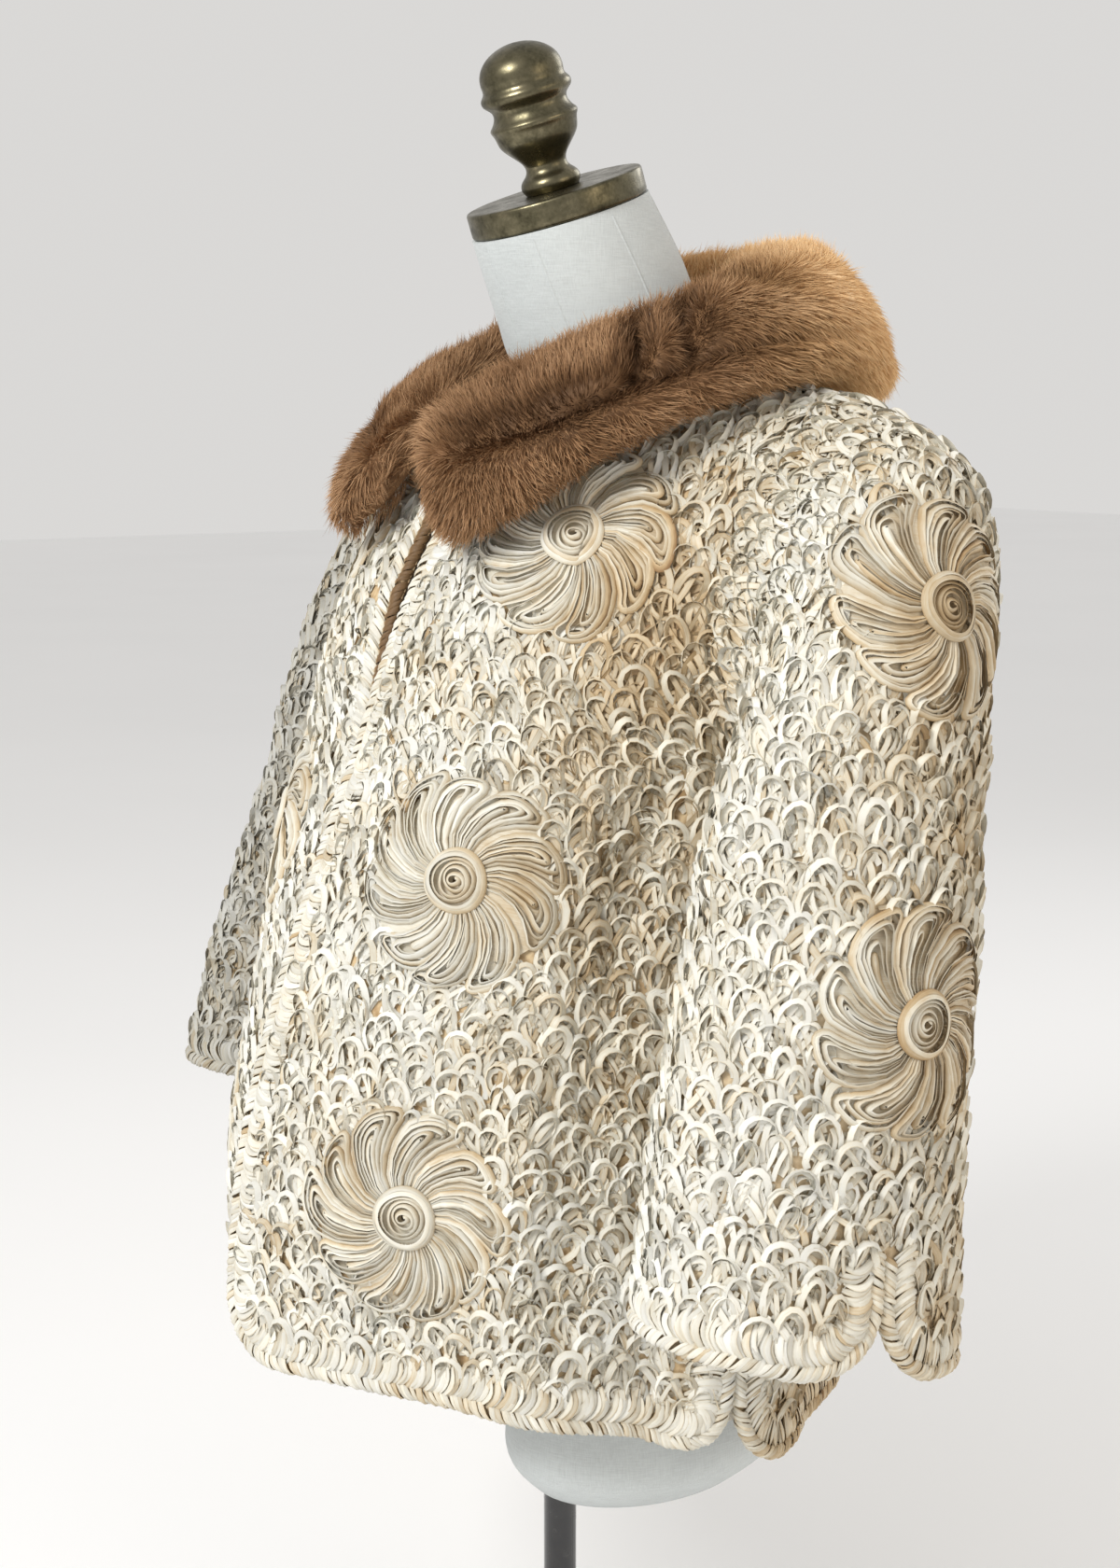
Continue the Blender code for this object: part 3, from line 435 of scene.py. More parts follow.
class Surface:
    """A panel's creased surface as a fine table, read at any place across and up it.

    Each entry holds the place, the outward normal, the slopes across and up,
    and the distances from the left and right ends of its row and from the hem.
    """

    def __init__(self, panel, side):
        self.panel, self.side = panel, side
        if panel == "sleeve":
            self.across, self.up = np.linspace(-0.2, 1.2, 253), np.linspace(0, 1, 181)
        else:
            low = -1.0 if panel == "back" else 0.0
            self.across, self.up = np.linspace(low, 1, 121 if low == 0 else 221), np.linspace(0, 2, 221)
        places = np.stack([panel_row(panel, side, self.across, u) for u in self.up])
        self.outward = {"front": 1, "back": -1, "sleeve": 1}[panel] * (1 if panel == "back" else side)
        self.rise = -1.0 if panel == "sleeve" else 1.0
        normal = self.normals(places)[0]
        heights = crease_height(panel, self.across[None, :], self.up[:, None])
        places = places + normal * heights[..., None]
        normal, du, dv = self.normals(places)
        left, hem = run_length(places, 1), run_length(places, 0)
        if panel == "sleeve":
            hem = hem[-1] - hem
        sizes = np.stack([left, left[:, -1:] - left, hem], axis=2)
        self.table = np.concatenate([places, normal, du, dv, sizes], axis=2)

    def normals(self, places):
        du = np.gradient(places, self.across, axis=1)
        dv = np.gradient(places, self.up, axis=0)
        return unit(np.cross(du, dv)) * self.outward, du, dv

    def at(self, across, up):
        """Entries between the table's own, carried on a little past its edges."""
        x = (np.asarray(across) - self.across[0]) / (self.across[1] - self.across[0])
        y = (np.asarray(up) - self.up[0]) / (self.up[1] - self.up[0])
        i = np.clip(np.floor(x).astype(int), 0, len(self.across) - 2)
        j = np.clip(np.floor(y).astype(int), 0, len(self.up) - 2)
        fx = np.clip(x - i, -4.0, 5.0)[..., None]
        fy = np.clip(y - j, -4.0, 5.0)[..., None]
        low = self.table[j, i] * (1 - fx) + self.table[j, i + 1] * fx
        high = self.table[j + 1, i] * (1 - fx) + self.table[j + 1, i + 1] * fx
        return low * (1 - fy) + high * fy

    def axes(self, across, up):
        """Directions to the right and upwards on the surface, as seen from outside."""
        here = self.at(across, up)
        upright = unit(here[..., SLOPE_UP] * self.rise)
        level = unit(np.cross(upright, here[..., NORMAL]))
        return level, unit(np.cross(here[..., NORMAL], level))

    def laid(self, across, up, local, level, upright):
        """Places of local points (along level, along upright, out) about centres on the surface."""
        here = self.at(across, up)
        du, dv = here[:, SLOPE_ACROSS], here[:, SLOPE_UP]
        a, b, c, d = dot(du, level), dot(dv, level), dot(du, upright), dot(dv, upright)
        whole = a * d - b * c
        move_across = (d[:, None] * local[..., 0] - b[:, None] * local[..., 1]) / whole[:, None]
        move_up = (a[:, None] * local[..., 1] - c[:, None] * local[..., 0]) / whole[:, None]
        found = self.at(across[:, None] + move_across, up[:, None] + move_up)
        return found[..., :3] + found[..., NORMAL] * local[..., 2:3]

    def wrapped(self, across, up, local):
        """Places of local points about one centre, at their true distances from it over the surface."""
        here = self.at(across, up)
        level, upright = self.axes(across, up)
        du, dv = here[SLOPE_ACROSS], here[SLOPE_UP]
        to_panel = np.linalg.inv([[du @ level, dv @ level], [du @ upright, dv @ upright]]).T
        wanted = local[:, :2]
        shift = wanted @ to_panel
        for _ in range(6):
            away = self.at(across + shift[:, 0], up + shift[:, 1])[:, :3] - here[:3]
            reached = np.stack([away @ level, away @ upright], axis=1)
            reached *= np.linalg.norm(away, axis=1, keepdims=True) / np.maximum(
                np.linalg.norm(reached, axis=1, keepdims=True), 1e-9
            )
            shift = shift + (wanted - reached) @ to_panel
        found = self.at(across + shift[:, 0], up + shift[:, 1])
        return found[:, :3] + found[:, NORMAL] * local[:, 2:3]

    def flat(self, across, up, local):
        """Places of local points on the plane that touches the surface at each centre."""
        here = self.at(across, up)
        level, upright = self.axes(across, up)
        return (
            here[:, None, :3]
            + level[:, None] * local[..., 0:1]
            + upright[:, None] * local[..., 1:2]
            + here[:, None, NORMAL] * local[..., 2:3]
        )


def link_new(name, data):
    made = bpy.data.objects.new(name, data)
    bpy.context.scene.collection.objects.link(made)
    return made


def add_piece(name, places, faces, look, tint=None, uv=None, rise=STAND_RISE):
    """A smooth mesh object from arrays. tint is a colour attribute a point, uv a pair a point."""
    mesh = bpy.data.meshes.new(name)
    places = np.asarray(np.asarray(places) + np.array([0.0, 0.0, rise]), np.float32)
    faces = np.asarray(faces, np.int32)
    mesh.vertices.add(len(places))
    mesh.vertices.foreach_set("co", places.ravel())
    mesh.loops.add(faces.size)
    mesh.loops.foreach_set("vertex_index", faces.ravel())
    mesh.polygons.add(len(faces))
    mesh.polygons.foreach_set("loop_start", np.arange(len(faces), dtype=np.int32) * faces.shape[1])
    mesh.update(calc_edges=True)
    if tint is not None:
        colours = np.ones((len(places), 4), np.float32)
        colours[:, :3] = tint
        layer = mesh.attributes.new("tint", "FLOAT_COLOR", "POINT")
        layer.data.foreach_set("color", colours.ravel())
    if uv is not None:
        layer = mesh.uv_layers.new(name="UVMap")
        layer.data.foreach_set("uv", np.asarray(uv, np.float32)[faces.ravel()].ravel())
    mesh.shade_smooth()
    mesh.materials.append(look)
    made = link_new(name, mesh)
    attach(made, "root")
    return made


def grid_faces(rows, columns, closed=False):
    """Quads of a grid of points, row by row, round again to the first column if closed."""
    r, c = np.meshgrid(np.arange(rows - 1), np.arange(columns if closed else columns - 1), indexing="ij")
    after = (c + 1) % columns
    return np.stack(
        [r * columns + c, r * columns + after, (r + 1) * columns + after, (r + 1) * columns + c], axis=-1
    ).reshape(-1, 4)


def repeated(pattern, points, number):
    """Faces of many units one after another, each with that many points."""
    return (pattern[None] + np.arange(number)[:, None, None] * points).reshape(-1, pattern.shape[1])


# Materials


class Look:
    """A node material with a few short ways to add nodes."""

    def __init__(self, name, colour, roughness, metallic=0.0, **constants):
        self.material = bpy.data.materials.new(name)
        self.material.use_nodes = True
        self.tree = self.material.node_tree
        self.shader = self.tree.nodes["Principled BSDF"]
        self.set("Base Color", (*colour, 1.0))
        self.set("Roughness", roughness)
        self.set("Metallic", metallic)
        for socket, value in constants.items():
            self.set(socket.replace("_", " "), value)

    def set(self, socket, value):
        self.shader.inputs[socket].default_value = value

    def add(self, kind, inputs=(), **settings):
        made = self.tree.nodes.new(kind)
        for key, value in settings.items():
            setattr(made, key, value)
        for socket, value in dict(inputs).items():
            if isinstance(value, bpy.types.NodeSocket):
                self.tree.links.new(value, made.inputs[socket])
            else:
                made.inputs[socket].default_value = value
        return made

    def maths(self, operation, a, b=0.0, c=0.0):
        return self.add("ShaderNodeMath", {0: a, 1: b, 2: c}, operation=operation).outputs[0]

    def spread(self, value, low, high, to_low, to_high):
        return self.add(
            "ShaderNodeMapRange", {0: value, 1: low, 2: high, 3: to_low, 4: to_high}
        ).outputs[0]

    def noise(self, vector, scale, detail=3.0, rough=0.55):
        return self.add(
            "ShaderNodeTexNoise", {"Vector": vector, "Scale": scale, "Detail": detail, "Roughness": rough}
        ).outputs["Fac"]

    def stretched(self, vector, scale):
        return self.add("ShaderNodeMapping", {"Vector": vector, "Scale": scale}).outputs[0]

    def ramp(self, factor, stops):
        made = self.add("ShaderNodeValToRGB", {"Fac": factor})
        while len(made.color_ramp.elements) < len(stops):
            made.color_ramp.elements.new(0.5)
        for element, (place, colour) in zip(made.color_ramp.elements, stops):
            element.position = place
            element.color = (*colour, 1.0)
        return made.outputs["Color"]

    def mixed(self, factor, a, b, blend="MIX"):
        made = self.add("ShaderNodeMix", data_type="RGBA", blend_type=blend)
        for socket, value in ((made.inputs[0], factor), (made.inputs[6], a), (made.inputs[7], b)):
            if isinstance(value, bpy.types.NodeSocket):
                self.tree.links.new(value, socket)
            else:
                socket.default_value = value
        return made.outputs[2]

    def coordinates(self, kind="Object"):
        return self.add("ShaderNodeTexCoord").outputs[kind]

    def tint(self):
        colour = self.add("ShaderNodeAttribute", attribute_name="tint").outputs["Color"]
        parts = self.add("ShaderNodeSeparateColor", {"Color": colour})
        return parts.outputs[0], parts.outputs[1], parts.outputs[2]

    def link(self, socket, value):
        self.tree.links.new(value, self.shader.inputs[socket])

    def bump(self, height, strength, distance):
        made = self.add("ShaderNodeBump", {"Height": height, "Strength": strength, "Distance": distance})
        self.link("Normal", made.outputs["Normal"])


def straw_look():
    """Ribbon straw: ivory to tan by strand and by place, tan rims, fine lengthwise fibres and a satin gloss,
    with painted light and shade carried in the tint.
    """
    look = Look("straw_tape", (0.83, 0.74, 0.56), 0.5, Specular_IOR_Level=0.35)
    # The tint's first channel is tan with painted light and shade; its third is strand lightness with
    # painted shade.
    tan_and_painted_light, rim, chance = look.tint()
    place = look.coordinates()
    fibres = look.noise(look.stretched(look.coordinates("UV"), (70.0, 1300.0, 1.0)), 1.0, 4.0, 0.6)
    blotch = look.noise(place, 75.0, 3.0)
    stain = look.noise(place, 13.0, 2.0)
    edge = look.maths("ABSOLUTE", look.maths("MULTIPLY_ADD", rim, 2.0, -1.0))
    value = look.maths("MULTIPLY_ADD", fibres, 0.44, tan_and_painted_light)
    value = look.maths("MULTIPLY_ADD", blotch, 0.50, value)
    value = look.maths("MULTIPLY_ADD", stain, 0.50, value)
    value = look.maths("MULTIPLY_ADD", look.maths("POWER", edge, 5.0), 0.30, value)
    value = look.maths("SUBTRACT", value, 0.72)
    colour = look.ramp(
        value,
        (
            (0.0, (0.845, 0.84, 0.785)),
            (0.28, (0.755, 0.715, 0.60)),
            (0.52, (0.62, 0.51, 0.345)),
            (0.76, (0.48, 0.34, 0.18)),
            (1.0, (0.28, 0.165, 0.075)),
        ),
    )
    # Darkens by the third channel: random strand lightness, and painted shade on the far sleeve and in the
    # gap between the fronts.
    deep = look.spread(chance, 0.0, 1.0, 0.60, 1.03)
    shade = look.add("ShaderNodeCombineColor", {0: deep, 1: deep, 2: deep}).outputs[0]
    look.link("Base Color", look.mixed(1.0, colour, shade, "MULTIPLY"))
    look.link("Roughness", look.spread(fibres, 0.3, 0.7, 0.42, 0.64))
    look.bump(fibres, 0.45, 0.0006)
    return look.material


def ground_and_painted_shade_look(name, dark, light):
    """The under-layer seen between the loops: tangled tape ends, tan with dark brown, partly their own tone
    and partly painted shade of the hollows.
    """
    look = Look(name, dark, 0.85)
    place = look.coordinates()
    strands = look.add("ShaderNodeTexVoronoi", {"Vector": place, "Scale": 240.0}).outputs["Distance"]
    tangle = look.noise(place, 160.0, 4.0)
    value = look.maths("MULTIPLY_ADD", strands, 0.5, look.maths("MULTIPLY", tangle, 0.8))
    look.link("Base Color", look.ramp(value, ((0.30, dark), (0.85, light))))
    look.bump(value, 0.6, 0.001)
    return look.material


def lining_look():
    """Satin-faced twill with a fine slanting rib."""
    look = Look("lining_satin", (0.50, 0.46, 0.39), 0.5, Sheen_Weight=0.25)
    place = look.coordinates()
    rib = look.add(
        "ShaderNodeTexWave", {"Vector": place, "Scale": 420.0, "Distortion": 1.5, "Detail": 2.0},
        bands_direction="DIAGONAL",
    ).outputs["Fac"]
    cloud = look.noise(place, 22.0, 3.0)
    value = look.maths("MULTIPLY_ADD", rib, 0.22, look.maths("MULTIPLY", cloud, 0.8))
    look.link("Base Color", look.ramp(value, ((0.2, (0.40, 0.36, 0.29)), (0.8, (0.60, 0.56, 0.48)))))
    look.link("Roughness", look.spread(cloud, 0.3, 0.7, 0.42, 0.62))
    look.bump(rib, 0.25, 0.0003)
    return look.material


def fur_look():
    """Mink-like hair: darker at the root, light brown to gold at the tip, and darker in the pelt's creases
    as painted shade.
    """
    look = Look("fur_hair", (0.40, 0.25, 0.15), 0.6, Specular_IOR_Level=0.22)
    tip, gold, chance = look.tint()
    cloud = look.noise(look.coordinates(), 19.0, 3.0)
    value = look.maths("MULTIPLY_ADD", cloud, 0.56, look.maths("MULTIPLY_ADD", chance, 0.22, tip))
    value = look.maths("SUBTRACT", value, 0.39)
    brown = look.ramp(
        value,
        ((0.0, (0.085, 0.040, 0.016)), (0.40, (0.27, 0.145, 0.068)), (0.72, (0.44, 0.260, 0.135)),
         (1.0, (0.60, 0.39, 0.225))),
    )
    golden = look.ramp(
        value,
        ((0.0, (0.24, 0.120, 0.045)), (0.40, (0.64, 0.390, 0.175)), (0.72, (0.86, 0.60, 0.325)),
         (1.0, (0.95, 0.77, 0.52))),
    )
    look.link("Base Color", look.mixed(gold, brown, golden))
    return look.material


def linen_look():
    """Plain-woven linen with slubs and faint blotches."""
    look = Look("form_linen", (0.62, 0.63, 0.61), 0.88, Sheen_Weight=0.15)
    place = look.coordinates()
    warp = look.noise(look.stretched(place, (1500.0, 1500.0, 90.0)), 1.0, 2.0)
    weft = look.noise(look.stretched(place, (110.0, 110.0, 1700.0)), 1.0, 2.0)
    weave = look.maths("ADD", warp, weft)
    cloud = look.noise(place, 9.0, 4.0)
    value = look.maths("MULTIPLY_ADD", look.maths("SUBTRACT", weave, 1.0), 0.55, cloud)
    look.link("Base Color", look.ramp(value, ((0.25, (0.50, 0.53, 0.53)), (0.75, (0.65, 0.69, 0.69)))))
    look.bump(weave, 0.35, 0.0004)
    return look.material


def bronze_look():
    """Antique brass: olive-brown patina with rubbed, brighter patches."""
    look = Look("antique_brass", (0.13, 0.105, 0.055), 0.3, 1.0)
    place = look.coordinates()
    patina = look.noise(place, 62.0, 5.0, 0.65)
    specks = look.noise(place, 420.0, 3.0)
    value = look.maths("MULTIPLY_ADD", specks, 0.30, look.maths("MULTIPLY", patina, 0.85))
    look.link(
        "Base Color",
        look.ramp(
            value,
            ((0.36, (0.048, 0.043, 0.026)), (0.52, (0.112, 0.100, 0.062)), (0.68, (0.175, 0.154, 0.098)),
             (0.84, (0.32, 0.270, 0.165))),
        ),
    )
    look.link("Roughness", look.spread(value, 0.35, 0.75, 0.46, 0.22))
    look.bump(specks, 0.12, 0.0004)
    return look.material


def black_look():
    """Black gloss enamel with faint ripple and dust."""
    look = Look("black_enamel", (0.010, 0.010, 0.012), 0.18, Coat_Weight=0.6, Coat_Roughness=0.08)
    place = look.coordinates()
    dust = look.noise(place, 95.0, 4.0)
    look.link("Base Color", look.ramp(dust, ((0.45, (0.008, 0.008, 0.010)), (0.85, (0.035, 0.034, 0.033)))))
    look.link("Roughness", look.spread(dust, 0.3, 0.8, 0.14, 0.34))
    look.bump(look.noise(place, 30.0, 2.0), 0.05, 0.001)
    return look.material


def floor_look():
    look = Look("pale_floor", (0.93, 0.93, 0.93), 0.9)
    cloud = look.noise(look.coordinates(), 0.8, 3.0)
    look.link("Base Color", look.ramp(cloud, ((0.2, (0.92, 0.92, 0.92)), (0.8, (0.95, 0.95, 0.95)))))
    return look.material


# Cloth


def rounded(across, up, width, height, radius, left, right):
    """Rounds the bottom corners of a panel by drawing nearby points in."""
    across, up = across.copy(), up.copy()
    for wanted, mirrored in ((left, False), (right, True)):
        share = 1 - across if mirrored else across
        a, b = (radius - share * width) / radius, (radius - up * height) / radius
        near = (a > 0) & (b > 0) & wanted
        a, b = np.clip(a, 0, 1), np.clip(b, 0, 1)
        a, b = a * np.sqrt(1 - b * b / 2), b * np.sqrt(1 - a * a / 2)
        share = np.where(near, radius * (1 - a) / width, share)
        up = np.where(near, radius * (1 - b) / height, up)
        across = 1 - share if mirrored else share
    return across, up


def hem_width(surface):
    """Width of a body panel's hem from the centre line, or the way round a cuff."""
    if surface.panel == "sleeve":
        return math.pi * (SLEEVE_RINGS[-1][4] + SLEEVE_RINGS[-1][5])
    ring = lower_ring(surface.panel, 0.0)
    return np.linalg.norm(np.diff(ring, axis=0), axis=1).sum()


def cuff_height():
    low, high = sleeve_points(0.0, 1.0), sleeve_points(0.0, 1.0 - CUFF_SLIT)
    return np.linalg.norm(low - high) / CUFF_SLIT


def panel_places(surface, inset):
    """Across and up of a panel's grid, and the rows that close round. inset is for a lining."""
    wide = hem_width(surface)
    if surface.panel == "sleeve":
        low = spaced(0.0, (CUFF_SLIT, 9), (1, 38))
        if inset:
            low = spaced(CUFF_LINING_START, (CUFF_LINING_SLIT, 6), (1, 32))
        closed = low >= (CUFF_LINING_SLIT if inset else CUFF_SLIT) - 1e-9
        share, low = np.meshgrid(np.linspace(0, 1, 61), low)
        if inset:
            drawn = CUFF_LINING_DRAWN * np.clip((CUFF_LINING_SLIT - low) / CUFF_LINING_EASE, 0.0, 1.0)
            share = drawn + (1 - 2 * drawn) * share
        else:
            share, low = rounded(share, low, wide, cuff_height(), CUFF_CORNER_RADIUS, True, True)
        return share, 1 - low, closed
    front = surface.panel == "front"
    columns, ups = np.linspace(0, 1, 45), spaced(0.0, (0.25, 12), (2, 46))
    if inset:
        columns = np.linspace(LINING_SIDE if front else 0.0, 1, 37)
        ups = spaced(LINING_START, (0.25, 7), (2, 38))
    across, up = np.meshgrid(columns, ups)
    if not inset:
        across, up = rounded(across, up, wide, BODY_HEIGHT, CORNER_RADIUS, front, True)
    if not front:
        across = np.concatenate([-across[:, :0:-1], across], axis=1)
        up = np.concatenate([up[:, :0:-1], up], axis=1)
    return across, up, np.zeros(len(up), bool)


def shell(name, surface, skin, look, inset=False):
    """A thin closed shell on a panel."""
    across, up, closed = panel_places(surface, inset)
    rows, columns = across.shape
    entries = surface.at(across, up)
    index = np.arange(rows * columns).reshape(rows, columns)
    index[closed, -1] = index[closed, 0]
    corners = [index[:-1, :-1], index[:-1, 1:], index[1:, 1:], index[1:, :-1]]
    faces = np.stack(corners, axis=-1).reshape(-1, 4)
    edges = np.concatenate([faces[:, [k, (k + 1) % 4]] for k in range(4)])
    _, first, uses = np.unique(np.sort(edges, axis=1), axis=0, return_index=True, return_counts=True)
    rim = edges[first[uses == 1]]
    count = rows * columns
    points = np.concatenate([
        (entries[..., :3] + entries[..., NORMAL] * height).reshape(-1, 3) for height in (skin[1], skin[0])
    ])
    if surface.outward * surface.rise > 0:
        walls = np.stack([rim[:, 1], rim[:, 0], rim[:, 0] + count, rim[:, 1] + count], axis=1)
        faces = np.concatenate([faces, faces[:, ::-1] + count, walls])
    else:
        walls = np.stack([rim[:, 0], rim[:, 1], rim[:, 1] + count, rim[:, 0] + count], axis=1)
        faces = np.concatenate([faces[:, ::-1], faces + count, walls])
    used, faces = np.unique(faces, return_inverse=True)
    return add_piece(name, points[used], faces.reshape(-1, 4), look)


def ribbon(centre, lift, width, tilt, cup=0.12, points_across=3):
    """Local points of tapes: centre lines in the surface, heights, widths and how far each leans over.

    Also gives the place along and across each point.
    """
    run = unit(np.gradient(centre, axis=1))
    side = np.stack([run[..., 1], -run[..., 0]], axis=-1)
    flat = np.concatenate([np.cos(tilt)[..., None] * side, np.sin(tilt)[..., None]], axis=-1)
    face = np.concatenate([-np.sin(tilt)[..., None] * side, np.cos(tilt)[..., None]], axis=-1)
    middle = np.concatenate([centre, lift[..., None]], axis=-1)
    spots = np.linspace(-1, 1, points_across)
    aside = (width / 2)[..., None] * spots
    raised = cup * width[..., None] * (1 - spots**2)
    points = middle[:, :, None] + flat[:, :, None] * aside[..., None] + face[:, :, None] * raised[..., None]
    length = run_length(centre, 1)
    uv = np.stack([np.repeat(length[..., None], points_across, axis=2), aside], axis=-1)
    return points.reshape(len(points), -1, 3), uv.reshape(len(points), -1, 2)


def strip_faces(counts, points_across=3):
    """Quads of several tapes laid one after another, and how many points they have."""
    faces, start = [], 0
    for many in counts:
        faces.append(grid_faces(many, points_across) + start)
        start += many * points_across
    return np.concatenate(faces), start


def turned_by(points, angle):
    """Rotates in-plane points about the origin, one angle for each unit."""
    c, s = np.cos(angle)[:, None], np.sin(angle)[:, None]
    x, y = points[..., 0], points[..., 1]
    return np.stack([x * c - y * s, x * s + y * c], axis=-1)


def smooth_step(value, low, high):
    t = np.clip((value - low) / (high - low), 0.0, 1.0)
    return t * t * (3 - 2 * t)


def edge_distance(surface, across, up):
    """Distance in from a panel's free edges, rounded at the corners."""
    here = surface.at(across, up)
    low = here[..., FROM_HEM]
    far = np.full(low.shape, 9.0)
    if surface.panel == "sleeve":
        side = np.abs(across - np.round(across)) * CUFF_RING
        side = np.where(up > 1 - CUFF_SLIT + 0.005, side, far)
        sides, radius = [side], CUFF_CORNER_RADIUS
    else:
        slit = up < SLIT_AT - 0.005
        sides, radius = [np.where(slit, here[..., FROM_RIGHT], far)], CORNER_RADIUS
        open_left = slit | (surface.panel == "front")
        sides.append(np.where(open_left, here[..., FROM_LEFT], far))
    found = low
    for side in sides:
        corner = radius - np.hypot(np.maximum(radius - side, 0), np.maximum(radius - low, 0))
        found = np.minimum(found, np.where((side < radius) & (low < radius), corner, np.minimum(side, low)))
    return found


def under_collar(places):
    """Whether places lie well under the fur."""
    share = np.linspace(0, 1, 81)
    centres, half_width, _, _ = collar_line(share)
    away = np.linalg.norm(places[:, None, :] - centres[None], axis=2)
    nearest = away.argmin(axis=1)
    return away[np.arange(len(places)), nearest] < 0.72 * half_width[nearest]


def loop_spots(surface, wheels):
    """Where the loops sit: in rows round the panel, in brick order, clear of edging, rosettes and collar."""
    tall = ROW_HEIGHTS[surface.panel]
    if surface.panel == "sleeve":
        heights = np.arange(0.004, tall[0] - 0.016, ROW_PITCH) / tall[0]
    else:
        lower = np.arange(0.022, tall[0], ROW_PITCH) / tall[0]
        upper = 1 + np.arange(ROW_PITCH / 2, tall[1] - 0.004, ROW_PITCH) / tall[1]
        heights = np.concatenate([lower, upper])
    found = []
    for row, height in enumerate(heights):
        fine = np.linspace(surface.across[0], surface.across[-1], 500)
        if surface.panel == "sleeve":
            fine = np.linspace(0, 1, 500)
        line = surface.at(fine, np.full(500, height))
        length = run_length(line[:, :3])
        number = max(int(round(length[-1] / LOOP_PITCH)), 2)
        places = (np.arange(number) + 0.25 + 0.5 * (row % 2)) / number * length[-1]
        places = places + DRAW.normal(0, 0.0016, number)
        across = np.interp(places, length, fine)
        up = height + DRAW.normal(0, 0.0014, number) / tall[0]
        found.append(np.stack([across, up, np.full(number, row % 2)], axis=1))
    found = np.concatenate(found)
    across, up = found[:, 0], found[:, 1]
    here = surface.at(across, up)
    pitch = np.linalg.norm(here[:, SLOPE_UP], axis=1) / np.where(up <= 1, tall[0], max(tall[1], 1e-6))
    keep = DRAW.random(len(found)) < pitch * 1.25
    keep &= edge_distance(surface, across, up) > BAND - 0.008
    for wheel in wheels:
        keep &= np.linalg.norm(here[:, :3] - wheel, axis=1) > ROSETTE_RADIUS - 0.007
    keep &= ~under_collar(here[:, :3])
    return found[keep]


def front_gap_painted_shadow(places):
    """Painted shadow in the gap between the fronts: how near a place is to the right front's own edge."""
    return bell(places[..., 0] + 0.0066, 0.0042) * (places[..., 1] < -0.05)


def placed_tan_and_painted_light(places):
    """How tan the straw is at a place, with painted light and shade.

    Painted warm light makes it tanner on the upper and outer sleeve, and painted shade in the underarm,
    by the front armhole, at the back's hem corners and along the right front's edge. It is also tanner
    near the hem.
    """
    x, y, z = places[..., 0], places[..., 1], places[..., 2]
    side = np.abs(x)
    # shoulder and outer are painted warm light; underarm, seam and tail are painted shade; hem is tanner
    # near the hem.
    shoulder = bell(side - 0.25, 0.10) * bell(y - 0.10, 0.09)
    underarm = bell(side - 0.185, 0.05) * bell(z - 0.56, 0.22) * (y < 0.03)
    hem = np.clip((0.33 - z) / 0.08, 0, 1)
    outer = np.clip((side - 0.26) / 0.08, 0, 1) * np.clip((y + 0.08) / 0.10, 0, 1)
    seam = bell(side - 0.165, 0.028) * bell(z - 0.735, 0.075) * (y < 0.05)
    tail = np.clip((0.33 - z) / 0.09, 0, 1) * np.clip((y + 0.02) / 0.05, 0, 1)
    tail = tail * np.clip((side - 0.08) / 0.10, 0, 1) * (side < 0.24)
    made = 0.12 * shoulder + 0.26 * underarm + 0.08 * hem + 0.24 * outer + 0.36 * seam + 0.34 * tail
    # Painted shadow along the right front's edge, in the gap between the fronts.
    return made + 1.30 * front_gap_painted_shadow(places)


def strand_lightness_and_painted_shade(surface, chance):
    """How light each strand is, at random; on the far, right sleeve all strands are much darker and greyer
    as painted shade.
    """
    if surface.panel == "sleeve" and surface.side < 0:
        return 0.06 * chance
    return 0.45 + 0.55 * chance


